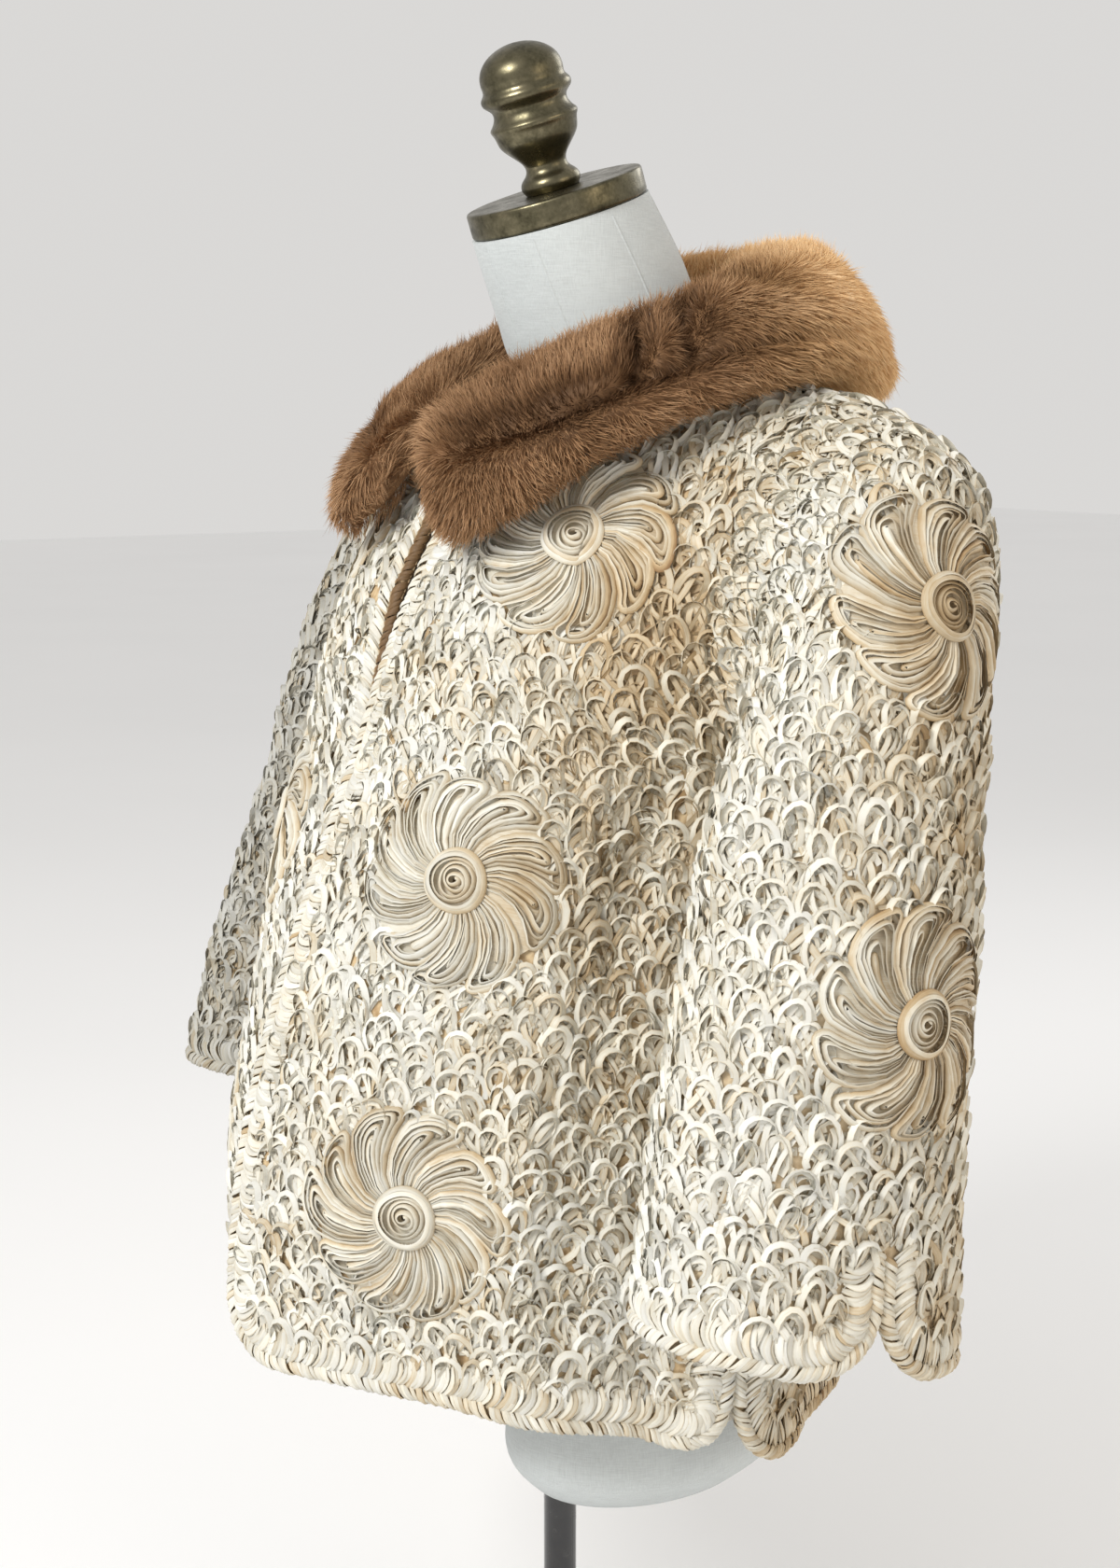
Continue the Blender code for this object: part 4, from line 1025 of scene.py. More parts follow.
def build_loops(name, surface, wheels, look):
    """The looped ground of a panel.

    Each unit is two arches of tape, a small loop in them, three crossing legs and a filler.
    """
    spots = loop_spots(surface, wheels)
    number = len(spots)
    across, up = spots[:, 0], spots[:, 1]

    def any_of(low, high):
        return DRAW.uniform(low, high, (number, 1))

    def chance_of(middle, spread):
        return DRAW.normal(middle, spread, (number, 1))

    def arch(many, reach, wide, tall, low, high, broad, lean, twist):
        turn = np.linspace(-1, 1, many)[None, :] * np.radians(reach)
        centre = np.stack([wide * np.sin(turn), tall * np.cos(turn)], axis=-1)
        rise = smooth_step(np.cos(turn), -0.85, 0.85)
        lift = low + (high - low) * rise
        tilt = lean * (0.25 + 0.75 * rise) + twist * np.linspace(-1, 1, many)[None, :]
        return centre, lift, broad + 0 * rise, tilt

    def leg(many, start, end, bow, low, high, broad, lean):
        t = np.linspace(0, 1, many)[None, :]
        side = bow * np.sin(math.pi * t)
        x, y = (start[k] * (1 - t) + end[k] * t for k in (0, 1))
        centre = np.stack([x + side, y], axis=-1)
        return centre, low + (high - low) * np.sin(math.pi * (0.1 + 0.75 * t)), broad + 0 * t, lean + 0 * t

    turn = DRAW.normal(0, 0.34, number)
    wide, tall = any_of(0.0062, 0.0098), any_of(0.0086, 0.0140)
    shift = np.stack([any_of(-0.003, 0.003), any_of(-0.003, 0.003)], axis=-1)
    parts = []
    centre, lift, width, tilt = arch(
        12, any_of(135, 170), wide, tall, any_of(0.0014, 0.0024), any_of(0.0040, 0.0062),
        any_of(0.0032, 0.0048), chance_of(0.98, 0.30), chance_of(0, 0.45),
    )
    parts.append((turned_by(centre, turn) + shift, lift, width, tilt))
    share = any_of(0.66, 0.92)
    centre, lift, width, tilt = arch(
        9, any_of(110, 165), wide * share, tall * share, any_of(0.0010, 0.0020), any_of(0.0026, 0.0044),
        any_of(0.0028, 0.0044), chance_of(-0.50, 0.50), chance_of(0, 0.5),
    )
    parts.append((turned_by(centre, turn + DRAW.normal(0, 0.55, number)) + shift, lift, width, tilt))
    centre, lift, width, tilt = arch(
        7, any_of(90, 150), any_of(0.0026, 0.0046), any_of(0.0036, 0.0064), any_of(0.0010, 0.0018),
        any_of(0.0022, 0.0040), any_of(0.0022, 0.0034), chance_of(0.30, 0.60), chance_of(0, 0.6),
    )
    aside = np.stack([any_of(-0.0050, 0.0050), any_of(-0.0060, 0.0020)], axis=-1)
    parts.append((turned_by(centre, DRAW.uniform(-2.4, 2.4, number)) + aside, lift, width, tilt))
    for hand in (-1.0, 1.0, DRAW.choice((-1.0, 1.0), (number, 1))):
        parts.append(leg(
            5, (hand * any_of(0.0020, 0.0096), any_of(-0.0124, -0.0066)),
            (hand * any_of(-0.0072, 0.0040), any_of(0.0034, 0.0104)), any_of(-0.0026, 0.0026),
            any_of(0.0008, 0.0016), any_of(0.0022, 0.0050), any_of(0.0026, 0.0044), chance_of(0, 0.45),
        ))
    parts.append(leg(
        3, (any_of(-0.0095, -0.0060), any_of(-0.0060, 0.0060)),
        (any_of(0.0060, 0.0095), any_of(-0.0060, 0.0060)), any_of(-0.0010, 0.0010),
        any_of(0.0004, 0.0008), any_of(0.0008, 0.0014), any_of(0.0040, 0.0056), chance_of(0, 0.20),
    ))
    counts = [lift.shape[1] for _, lift, _, _ in parts]
    sizes = [2 * count for count in counts]
    tapes = [ribbon(*part, points_across=2) for part in parts]
    local = np.concatenate([points for points, _ in tapes], axis=1)
    uv = np.concatenate([mapped for _, mapped in tapes], axis=1) + DRAW.uniform(0, 3, (number, 1, 2))
    places = surface.flat(across, up, local)
    pattern, points = strip_faces(counts, 2)
    faces = repeated(pattern, points, number)
    tan_and_painted_light = placed_tan_and_painted_light(surface.at(across, up)[:, :3])[:, None] + DRAW.gamma(1.1, 0.08, (number, len(counts)))
    # Painted shade: the tapes under the top arch are tanner than it, the filler most.
    tan_and_painted_light = np.repeat(tan_and_painted_light + np.array([-0.05, 0.08, 0.10, 0.09, 0.09, 0.09, 0.24]), sizes, axis=1)
    # Painted shade: the tapes under the top arch are also given a lower lightness, the filler the lowest.
    chance = DRAW.random((number, len(counts))) * np.array([1.0, 0.9, 0.9, 0.9, 0.9, 0.9, 0.7])
    chance = np.repeat(strand_lightness_and_painted_shade(surface, chance), sizes, axis=1)
    rim = np.tile(np.array([0.0, 1.0]), sum(counts))[None].repeat(number, axis=0)
    tint = np.stack([tan_and_painted_light, rim, chance], axis=-1).reshape(-1, 3)
    return add_piece(name, places.reshape(-1, 3), faces, look, tint, uv.reshape(-1, 2))


# Braided edging


def corner_arc(x, y, radius, start, stop):
    """Points of a rounded corner about (x, y), from one angle to another in degrees."""
    turn = np.radians(np.linspace(start, stop, 24))
    return [(x + radius * math.cos(t), y + radius * math.sin(t)) for t in turn]


def edge_path(surface):
    """Across and up along a panel's free edge, with the panel to one side of it all the way."""
    if surface.panel == "sleeve":
        wide, tall, radius = hem_width(surface), cuff_height(), CUFF_CORNER_RADIUS
        top = CUFF_SLIT * tall
        flat = [(0.0, y) for y in np.linspace(top, radius, 20)]
        flat += corner_arc(radius, radius, radius, 180, 270)
        flat += [(x, 0.0) for x in np.linspace(radius, wide - radius, 120)]
        flat += corner_arc(wide - radius, radius, radius, 270, 360)
        flat += [(wide, y) for y in np.linspace(radius, top, 20)]
        flat = np.array(flat)
        return flat[:, 0] / wide, 1 - flat[:, 1] / tall
    wide, tall, radius = hem_width(surface), BODY_HEIGHT, CORNER_RADIUS
    top = SLIT_AT * tall
    right_part = corner_arc(wide - radius, radius, radius, 270, 360)
    right_part += [(wide, y) for y in np.linspace(radius, top, 14)]
    if surface.panel == "back":
        left_part = [(-x, y) for x, y in reversed(right_part)]
        flat = left_part + [(x, 0.0) for x in np.linspace(radius - wide, wide - radius, 140)] + right_part
    else:
        flat = [(0.0, y) for y in np.linspace(2 * tall, radius, 160)]
        flat += corner_arc(radius, radius, radius, 180, 270)
        flat += [(x, 0.0) for x in np.linspace(radius, wide - radius, 80)] + right_part
    flat = np.array(flat)
    return flat[:, 0] / wide, flat[:, 1] / tall


def edge_frames(surface, step):
    """Evenly spaced places along a free edge, with the direction along it and the one into the panel."""
    across, up = edge_path(surface)
    line = surface.at(across, up)[:, :3]
    length = run_length(line)
    number = int(length[-1] / step)
    at = (np.arange(number) + 0.5) * length[-1] / number
    small = 0.002

    def place(shift):
        return np.interp(at + shift, length, across), np.interp(at + shift, length, up)

    run = unit(surface.at(*place(small))[:, :3] - surface.at(*place(-small))[:, :3])
    across, up = place(0.0)
    into = unit(np.cross(surface.at(across, up)[:, NORMAL], run)) * surface.outward * surface.rise
    return across, up, run, into


def braid(name, surface, look):
    """Two rows along the free edges: a rolled edge of strands, and leaf stitches inside it."""
    across, up, run, into = edge_frames(surface, BRAID_PITCH)
    number = len(across)

    def any_of(low, high):
        return DRAW.uniform(low, high, (number, 1))

    parts = []
    hand = 1.0 if surface.side > 0 else -1.0
    t = np.linspace(0, 1, BRAID_POINTS)[None, :]
    for k in range(3):
        shift = (k - 1) * 0.0028 + any_of(-0.0008, 0.0008)
        slant, bow = any_of(0.0030, 0.0060), any_of(0.0034, 0.0048)
        s = shift + hand * (slant * (t - 0.4) + bow * np.sin(math.pi * t))
        start = any_of(0.0056, 0.0078)
        d = start + (any_of(0.0238, 0.0285) - start) * t
        swell = np.sin(math.pi * np.clip(0.06 + 0.9 * t, 0, 1))
        lift = 0.0012 + (0.0034 + 0.0008 * (k == 1) + any_of(-0.0006, 0.0006)) * swell
        width = (0.0022 + 0.0020 * swell) * any_of(0.85, 1.2)
        lean = (k - 1) * -0.5 * hand + DRAW.normal(0.1, 0.25, (number, 1)) + 0 * t
        parts.append(ribbon(np.stack([s, d], axis=-1), lift, width, lean, 0.20))
    turn = np.radians(20 + 250 * t)
    for k in range(3):
        shift = (k - 1) * 0.0029 + any_of(-0.0010, 0.0010)
        s = shift + hand * any_of(0.008, 0.015) * (t - 0.5)
        d = 0.0044 + any_of(0.0038, 0.0050) * np.cos(turn)
        lift = 0.0010 + any_of(0.0032, 0.0046) * np.sin(turn)
        parts.append(roll_tape(np.stack([s, d], axis=-1), lift, any_of(0.0026, 0.0044) + 0 * t, turn))
    local = np.concatenate([points for points, _ in parts], axis=1)
    uv = np.concatenate([mapped for _, mapped in parts], axis=1) + DRAW.uniform(0, 3, (number, 1, 2))
    places = surface.laid(across, up, local, run, into)
    counts = [BRAID_POINTS] * len(parts)
    pattern, points = strip_faces(counts)
    faces = repeated(pattern, points, number)
    sizes = [3 * c for c in counts]
    tan_and_painted_light = DRAW.gamma(1.5, 0.08, (number, 6)) + np.array([0.0, 0.02, 0.0, 0.08, 0.08, 0.08])
    tan_and_painted_light = np.repeat(tan_and_painted_light, sizes, axis=1) + placed_tan_and_painted_light(places)
    chance = np.repeat(strand_lightness_and_painted_shade(surface, DRAW.random((number, 6))), sizes, axis=1)
    # Painted shadow: strands along the right front's edge, in the gap between the fronts, are darkened.
    chance = chance * (1 - front_gap_painted_shadow(places))
    rim = np.tile(np.array([0.0, 0.5, 1.0]), sum(counts))[None].repeat(number, axis=0)
    tint = np.stack([tan_and_painted_light, rim, chance], axis=-1).reshape(-1, 3)
    return add_piece(name, places.reshape(-1, 3), faces, look, tint, uv.reshape(-1, 2))


def roll_tape(centre, lift, width, turn):
    """Local points of tapes that wrap over a rolled edge, lying flat on the roll."""
    number, many = lift.shape
    half = (width / 2)[..., None]
    along_edge = np.zeros((number, many, 3))
    along_edge[..., 0] = 1.0
    out = np.stack([0 * turn, np.cos(turn), np.sin(turn)], axis=-1) + np.zeros((number, many, 3))
    middle = np.concatenate([centre, lift[..., None]], axis=-1)
    aside = along_edge * half
    points = np.stack([middle - aside, middle + out * 0.0008, middle + aside], axis=2)
    length = np.repeat(run_length(middle, 1)[..., None], 3, axis=2)
    uv = np.stack([length, width[..., None] * np.array([-0.5, 0.0, 0.5])], axis=-1)
    return points.reshape(number, many * 3, 3), uv.reshape(number, many * 3, 2)


# Rosettes


def build_rosette(name, surface, spot, across, look):
    """A wheel of fine nested tape loops in lobes round a coiled middle, on a domed backing."""
    hub = HUB_RADIUS
    start = DRAW.uniform(0, 2 * math.pi)
    parts, counts, tan_and_painted_light, chance = [], [], [], []

    def dome(r):
        share = np.clip(r / ROSETTE_RADIUS, 0, 1)
        return spot.lift + 0.0008 + 0.0024 * np.sin(math.pi * share**0.8) ** 0.8

    # Each tape's lower edge is tinted tan and its raised edge pale: painted shade in the grooves, painted
    # highlight on the ridges.
    def keep(r, turn, lift, width, lean, warmer, painted_edge_light):
        many = len(r)
        centre = np.stack([r * np.sin(turn), r * np.cos(turn)], axis=-1)[None]
        points, uv = ribbon(centre, (lift + 0 * r)[None], (width + 0 * r)[None], (lean + 0 * r)[None], 0.16)
        parts.append((points, uv + DRAW.uniform(0, 3, (1, 1, 2))))
        counts.append(many)
        tan_and_painted_light.append(np.tile(np.array(painted_edge_light), many) + DRAW.gamma(1.5, 0.06) + warmer)
        chance.append(np.full(3 * many, strand_lightness_and_painted_shade(surface, DRAW.random())))

    v = np.linspace(-1, 1, 21)
    u = np.sign(v) * np.abs(v) ** 1.4
    for lobe in range(LOBES):
        turn_to = start + 2 * math.pi * (lobe + DRAW.normal(0, 0.08)) / LOBES
        grown = DRAW.uniform(0.95, 1.04)
        for share, opening in zip(LOBE_REACHES, LOBE_OPENINGS):
            reach = ROSETTE_RADIUS * grown * share * DRAW.uniform(0.97, 1.03)
            open_to = math.radians(opening + DRAW.normal(0, 0.8))
            r = 0.9 * hub + (reach - 0.9 * hub) * (1 - np.abs(u) ** 2)
            swing = LOBE_BEND * (np.clip(r - hub, 0, 1) / (ROSETTE_RADIUS - hub)) ** 1.3
            aside = np.sign(u) * open_to * np.clip(np.abs(u) / 0.36, 0, 1) ** 0.6
            wander = 0.020 * np.sin(150 * r + DRAW.uniform(0, 6)) + DRAW.normal(0, 0.015)
            lift = dome(r) + 0.0010 * DRAW.random() + 0.0004 * np.sin(420 * r + lobe)
            width = np.clip(2 * math.pi * r / 74, 0.0017, 0.0037) * DRAW.uniform(0.85, 1.15)
            keep(r, turn_to + swing + aside + wander, lift, width, DRAW.normal(0.78, 0.18),
                 0.09 + 0.10 * DRAW.random(), (0.26, 0.12, -0.05))
    t = np.linspace(0, 1, 110)
    turn = 2 * math.pi * 4.4 * t
    keep(0.0016 + (hub - 0.0030) * t + 0.0007 * np.sin(1.7 * turn), turn,
         dome(HUB_RIM) + 0.0026 - 0.0008 * np.sin(math.pi * t), 0.0034, 0.80, 0.10, (0.26, 0.12, 0.0))
    for k, (ring, lean, broad) in enumerate(((0.0160, 0.45, 0.0042), (0.0178, 0.80, 0.0036))):
        turn = np.linspace(0, 2 * math.pi * 1.03, 40) + k
        uneven = ring + 0.0005 * np.sin(3 * turn + k)
        keep(uneven, turn, dome(HUB_RIM) + 0.0034 - 0.0008 * k, broad, lean, 0.10, (0.24, 0.12, 0.0))
    local = np.concatenate([points for points, _ in parts], axis=1)[0]
    uv = np.concatenate([mapped for _, mapped in parts], axis=1)[0]
    faces, many = strip_faces(counts)
    # The rims add a little more tan at each tape's lower edge, as painted shade.
    rims = np.tile(np.array([0.1, 0.5, 0.5]), many // 3)
    tint = np.stack([np.concatenate(tan_and_painted_light), rims, np.concatenate(chance)], axis=-1)
    rings, spokes = 9, 60
    turn = np.arange(spokes) * 2 * math.pi / spokes
    share = np.linspace(0.05, 0.95, rings)[:, None]
    r = share * ROSETTE_RADIUS * (0.955 + 0.030 * np.cos(LOBES * (turn - start - LOBE_BEND)))
    backing = np.stack([r * np.sin(turn), r * np.cos(turn), dome(r) - 0.0008 - 0.0022 * share**6], axis=-1)
    local = np.concatenate([local, backing.reshape(-1, 3)])
    faces = np.concatenate([faces, grid_faces(rings, spokes, True) + many])
    under = np.array([[0.30, 0.5, strand_lightness_and_painted_shade(surface, 0.5)]])
    tint = np.concatenate([tint, np.tile(under, (rings * spokes, 1))])
    uv = np.concatenate([uv, backing.reshape(-1, 3)[:, :2]])
    places = surface.wrapped(across, spot.up, local)
    tint[:, 0] += placed_tan_and_painted_light(places)
    return add_piece(name, places, faces, look, tint, uv)


# Fur


def collar_line(share):
    """Centres, half sizes and slope of the collar; share runs from the left front end to the right one."""
    share = np.asarray(share, float)
    rows = through(COLLAR_ROWS, 2 * np.minimum(share, 1 - share))
    side = np.where(share <= 0.5, 1.0, -1.0)
    centres = rows[..., :3] * np.stack([side, np.ones_like(side), np.ones_like(side)], axis=-1)
    return centres, rows[..., 3], rows[..., 4], np.radians(rows[..., 5])


def fold(share, degrees):
    """How far folds draw the pelt in: the long groove over the fall, cross creases, and soft lumps."""
    depth = np.zeros(np.broadcast(share, degrees).shape)
    for mirror, strength in ((False, 1.0), (True, 0.8)):
        at = 1 - share if mirror else share
        line = np.interp(at, (0.0, 0.04, 0.14, 0.20, 0.30, 0.42), (96, 92, 56, 36, 26, 40))
        shown = smooth_step(at, 0.015, 0.07) * (1 - smooth_step(at, 0.22, 0.36))
        depth += 0.0105 * strength * shown * bell(degrees - line, 15)
        for cross in CROSSINGS:
            middle = cross.at + cross.slant * (degrees - 60) / 60
            fades = smooth_step(degrees, cross.high - 25, cross.high)
            shown = smooth_step(degrees, cross.low, cross.low + 25) * (1 - fades)
            depth += cross.depth * strength * shown * bell(at - middle, cross.width)
    turn = np.radians(degrees)
    lumps = np.sin(31 * share + 1.3) * np.sin(2 * turn) + 0.6 * np.sin(57 * share - turn)
    return depth + 0.0009 * lumps


def collar_places(share, degrees, inset):
    """Places on the pelt, drawn in from the collar's outline by inset, rounded off at the front ends."""
    small = 1e-3
    centres, half_width, half_height, slope = collar_line(share)
    before, after = (collar_line(np.clip(share + step, 0, 1))[0] for step in (-small, small))
    ahead = unit(after - before)
    level = unit(np.cross(ahead, np.array([0.0, 0.0, 1.0])))
    upright = np.cross(level, ahead)
    c, s = np.cos(slope)[..., None], np.sin(slope)[..., None]
    outwards, upwards = c * level - s * upright, s * level + c * upright
    rise = through(COLLAR_RISES, share)[..., 0]
    centres, half_height = centres + rise[..., None] * upwards, half_height + rise
    turn = np.radians(degrees)
    drawn = inset + fold(share, degrees)
    wide = np.maximum(half_width - drawn, 0.004) * np.cos(turn)
    high = np.maximum(half_height - np.minimum(drawn, 0.75 * half_height), 0.003) * np.sin(turn)
    end = np.minimum(share, 1 - share)
    close = np.sqrt(np.clip(1 - (1 - np.clip(end / 0.018, 0, 1)) ** 2, 0.0, 1.0))
    size = 0.25 + 0.75 * close
    return centres + (size * wide)[..., None] * outwards + (size * high)[..., None] * upwards


def collar_table(inset):
    share = np.linspace(0, 1, 241)[:, None]
    degrees = np.linspace(0, 360, 73)[None, :-1]
    share, degrees = np.broadcast_arrays(share, degrees)
    return share, degrees, collar_places(share, degrees, inset)


def pelt_normals(places):
    """Outward normals of a closed table of places."""
    around = np.roll(places, -1, axis=1) - np.roll(places, 1, axis=1)
    ahead = np.gradient(places, axis=0)
    normal = unit(np.cross(around, ahead))
    middle = places.mean(axis=1, keepdims=True)
    flip = np.sign(dot(normal, places - middle).mean())
    return normal * flip, unit(around), unit(ahead)


def build_pelt(look):
    """The pelt under the hairs."""
    _, _, places = collar_table(PELT_INSET)
    places = places[:, ::2]
    rows, columns = places.shape[:2]
    tint = np.tile(np.array([[0.30, 0.0, 0.5]]), (rows * columns + 2, 1))
    tint[: rows * columns, 1] = golden(places.reshape(-1, 3))
    return closed_loft("fur_pelt", places, look, tint)


def golden(places):
    """Share of gold in the fur, growing round to the back of the left shoulder."""
    return smooth_step(places[..., 1] + 0.30 * np.abs(places[..., 0]), 0.04, 0.17)


def build_hairs(name, low, high, number, look):
    """Short tapering hairs over one half of the collar, leaning with the pelt in soft tufts."""
    share, degrees, places = collar_table(PELT_INSET)
    normal, around, ahead = pelt_normals(places)
    to_next = np.roll(places, -1, axis=1) - places
    spans = np.linalg.norm(np.cross(np.gradient(places, axis=0), to_next), axis=2)
    shown = np.where((degrees > 215) & (degrees < 325), 0.22, 1.0)
    weight = spans * shown * ((share >= low) & (share <= high))
    pick = DRAW.choice(weight.size, number, p=(weight / weight.sum()).ravel())
    row, column = np.unravel_index(pick, weight.shape)
    fx, fy = DRAW.random((number, 1)), DRAW.random((number, 1))
    after = (column + 1) % weight.shape[1]
    below = np.minimum(row + 1, weight.shape[0] - 1)

    def between(table):
        upper = table[row, column] * (1 - fx) + table[row, after] * fx
        lower = table[below, column] * (1 - fx) + table[below, after] * fx
        return upper * (1 - fy) + lower * fy

    root = between(places)
    out, round_it, on = (unit(between(table)) for table in (normal, around, ahead))
    angle = degrees[row, column][:, None] + 5 * fx
    angle = np.where(angle > 270, angle - 360, angle)
    end = np.minimum(share, 1 - share)[row, column][:, None]
    parting = np.interp(end, (0.0, 0.04, 0.14, 0.20, 0.27, 0.5), (96, 92, 60, 50, 104, 124))
    flow = np.interp(angle, (-90, -40, -12, 12, 40), (0.8, 0.6, 0.10, -0.45, -0.9))
    upper = np.interp(angle, (60, 100, 128, 150, 200), (0.9, 0.8, 0.30, 0.05, -0.5))
    flow = flow + (upper - flow) * smooth_step(angle, parting - 14, parting + 14)
    waves = ((150.0, 90.0, 60.0), (-70.0, 140.0, 160.0))
    tuft = sum(np.sin(root @ np.array(wave))[:, None] for wave in waves)
    ends = np.where(share[row, column] < 0.5, -1.0, 1.0)[:, None]
    along_it = 0.12 * tuft + 0.9 * np.clip(1 - end / 0.05, 0, 1) * ends
    along_it = along_it - 0.30 * ends * smooth_step(end, 0.06, 0.2)
    lean = 0.95 * flow * round_it + (along_it + DRAW.normal(0, 0.12, (number, 1))) * on
    lean = lean + DRAW.normal(0, 0.10, (number, 3))
    first = unit(0.58 * out + 0.62 * lean)
    second = unit(0.34 * out + 0.90 * lean)
    length = DRAW.uniform(0.0105, 0.0165, (number, 1))
    guard = DRAW.random((number, 1)) < 0.08
    deep = fold(share, degrees)[row, column]
    length = np.where(guard, length * 1.25, length) * (1 - np.clip(55 * deep, 0, 0.62))[:, None]
    broad = DRAW.uniform(0.00022, 0.00040, (number, 1)) * np.where(guard, 0.8, 1.0)
    across = unit(np.cross(first, DRAW.normal(0, 1, (number, 3))))
    middle = root + first * length * 0.5
    tip = middle + second * length * 0.55
    points = np.stack([root, middle - across * broad, middle + across * broad, tip], axis=1)
    faces = repeated(np.array([[0, 1, 2], [2, 1, 3]]), 4, number)
    tint = np.zeros((number, 4, 3))
    # Painted shade: hairs in and beside the pelt's creases are darkened, to near black-brown in the deepest.
    beside = ((0.0, 0), (0.007, 0), (-0.007, 0), (0.0, 9), (0.0, -9))
    deepest = np.max([fold(share + ahead_by, degrees + round_by) for ahead_by, round_by in beside], axis=0)
    painted_crease_shade_factor = np.clip(1.04 - deepest[row, column] / 0.011, 0.05, 1.1)[:, None]
    tint[..., 0] = np.array([0.30, 0.50, 0.50, 0.70]) * (0.14 + 0.90 * painted_crease_shade_factor)
    tint[..., 1] = golden(root)[:, None]
    tint[..., 2] = DRAW.random((number, 1))
    return add_piece(name, points.reshape(-1, 3), faces, look, tint.reshape(-1, 3))


# Form and stand


def form_places(z, sides):
    """Rings of points on the form at those heights."""
    half_width, front_y, back_y, point, pitch = through(FORM_ROWS, z).T
    turn = np.arange(sides) * 2 * math.pi / sides
    c, s = np.cos(turn)[None, :], np.sin(turn)[None, :]
    middle, half_depth = ((front_y + back_y) / 2)[:, None], ((back_y - front_y) / 2)[:, None]
    deep = np.sign(s) * np.abs(s) ** point[:, None] * half_depth
    x = half_width[:, None] * c + 0 * deep
    return np.stack([x, middle + deep, z[:, None] + pitch[:, None] * deep], axis=-1)


def closed_loft(name, rings, look, tint=None):
    """A smooth solid through rings of points, closed at both ends."""
    rows, columns = rings.shape[:2]
    points = np.concatenate([rings.reshape(-1, 3), [rings[0].mean(axis=0)], [rings[-1].mean(axis=0)]])
    quads = grid_faces(rows, columns, True)
    ring = np.arange(columns)
    after = np.roll(ring, -1)
    bottom = np.stack([after, ring, np.full(columns, rows * columns)], axis=1)
    last = (rows - 1) * columns
    top = np.stack([last + ring, last + after, np.full(columns, rows * columns + 1)], axis=1)
    triangles = np.concatenate([quads[:, :3], quads[:, [0, 2, 3]], bottom, top])
    made = add_piece(name, points, triangles, look, tint)
    made.data.set_sharp_from_angle(angle=math.radians(60))
    return made


def build_form(look):
    heights = spaced(FORM_ROWS[0][0], (0.30, 14), (0.80, 40), (FORM_ROWS[-1][0], 57))
    rings = form_places(heights, 96)
    rounded_foot = []
    for k in np.linspace(0, 1, 6)[:-1]:
        ring = rings[0].copy()
        size = 0.955 + 0.045 * math.sin(k * math.pi / 2)
        ring[:, :2] = ring[:, :2].mean(axis=0) + (ring[:, :2] - ring[:, :2].mean(axis=0)) * size
        ring[:, 2] += 0.0002 * k
        rounded_foot.append(ring)
    torso = closed_loft("form_cover", np.concatenate([np.array(rounded_foot), rings[1:]]), look)
    made = [torso]
    for side, name in ((1, "left"), (-1, "right")):
        z = np.linspace(THIGH_ROWS[0][0], THIGH_TOP, 30)
        half_width, half_depth, y = through(THIGH_ROWS, z).T
        turn = np.arange(64) * 2 * math.pi / 64
        rings = np.stack(
            [
                side * THIGH_X + half_width[:, None] * np.cos(turn)[None],
                y[:, None] + half_depth[:, None] * np.sin(turn)[None],
                z[:, None] + 0 * turn[None],
            ],
            axis=-1,
        )
        made.append(closed_loft("form_thigh_" + name, rings, look))
    return made


def build_seams(look):
    """Raised seams of the form's cover: centre front and back, sides and princess lines."""
    heights = spaced(0.240, (0.80, 60), (0.964, 50))
    sides = 360
    rings = form_places(heights, sides)
    middle = rings.mean(axis=1, keepdims=True)
    points, faces = [], []
    for degrees in SEAM_DEGREES:
        line = rings[:, degrees]
        out = unit((line - middle[:, 0]) * np.array([1.0, 1.0, 0.0]))
        aside = unit(np.cross(out, np.array([0.0, 0.0, 1.0])))
        turn = np.linspace(0, math.pi, 5)
        tube = (
            line[:, None]
            + out[:, None] * (0.00055 * np.sin(turn) - 0.00020)[None, :, None]
            + aside[:, None] * (0.0011 * np.cos(turn))[None, :, None]
        )
        faces.append(grid_faces(len(heights), 5) + sum(len(p) for p in points))
        points.append(tube.reshape(-1, 3))
    return add_piece("form_seams", np.concatenate(points), np.concatenate(faces), look)


def turned(name, profile, look, place, sides=60):
    """A turned piece leaning with the neck."""
    turn = np.arange(sides) * 2 * math.pi / sides
    height, radius = np.array(profile).T
    x, y = radius[:, None] * np.cos(turn)[None], radius[:, None] * np.sin(turn)[None]
    rings = np.stack([x, y, height[:, None] + 0 * turn[None]], axis=-1)
    c, s = math.cos(NECK_LEAN), math.sin(NECK_LEAN)
    tilt = np.array([[1, 0, 0], [0, c, -s], [0, s, c]])
    return closed_loft(name, rings @ tilt.T + np.array(place), look)


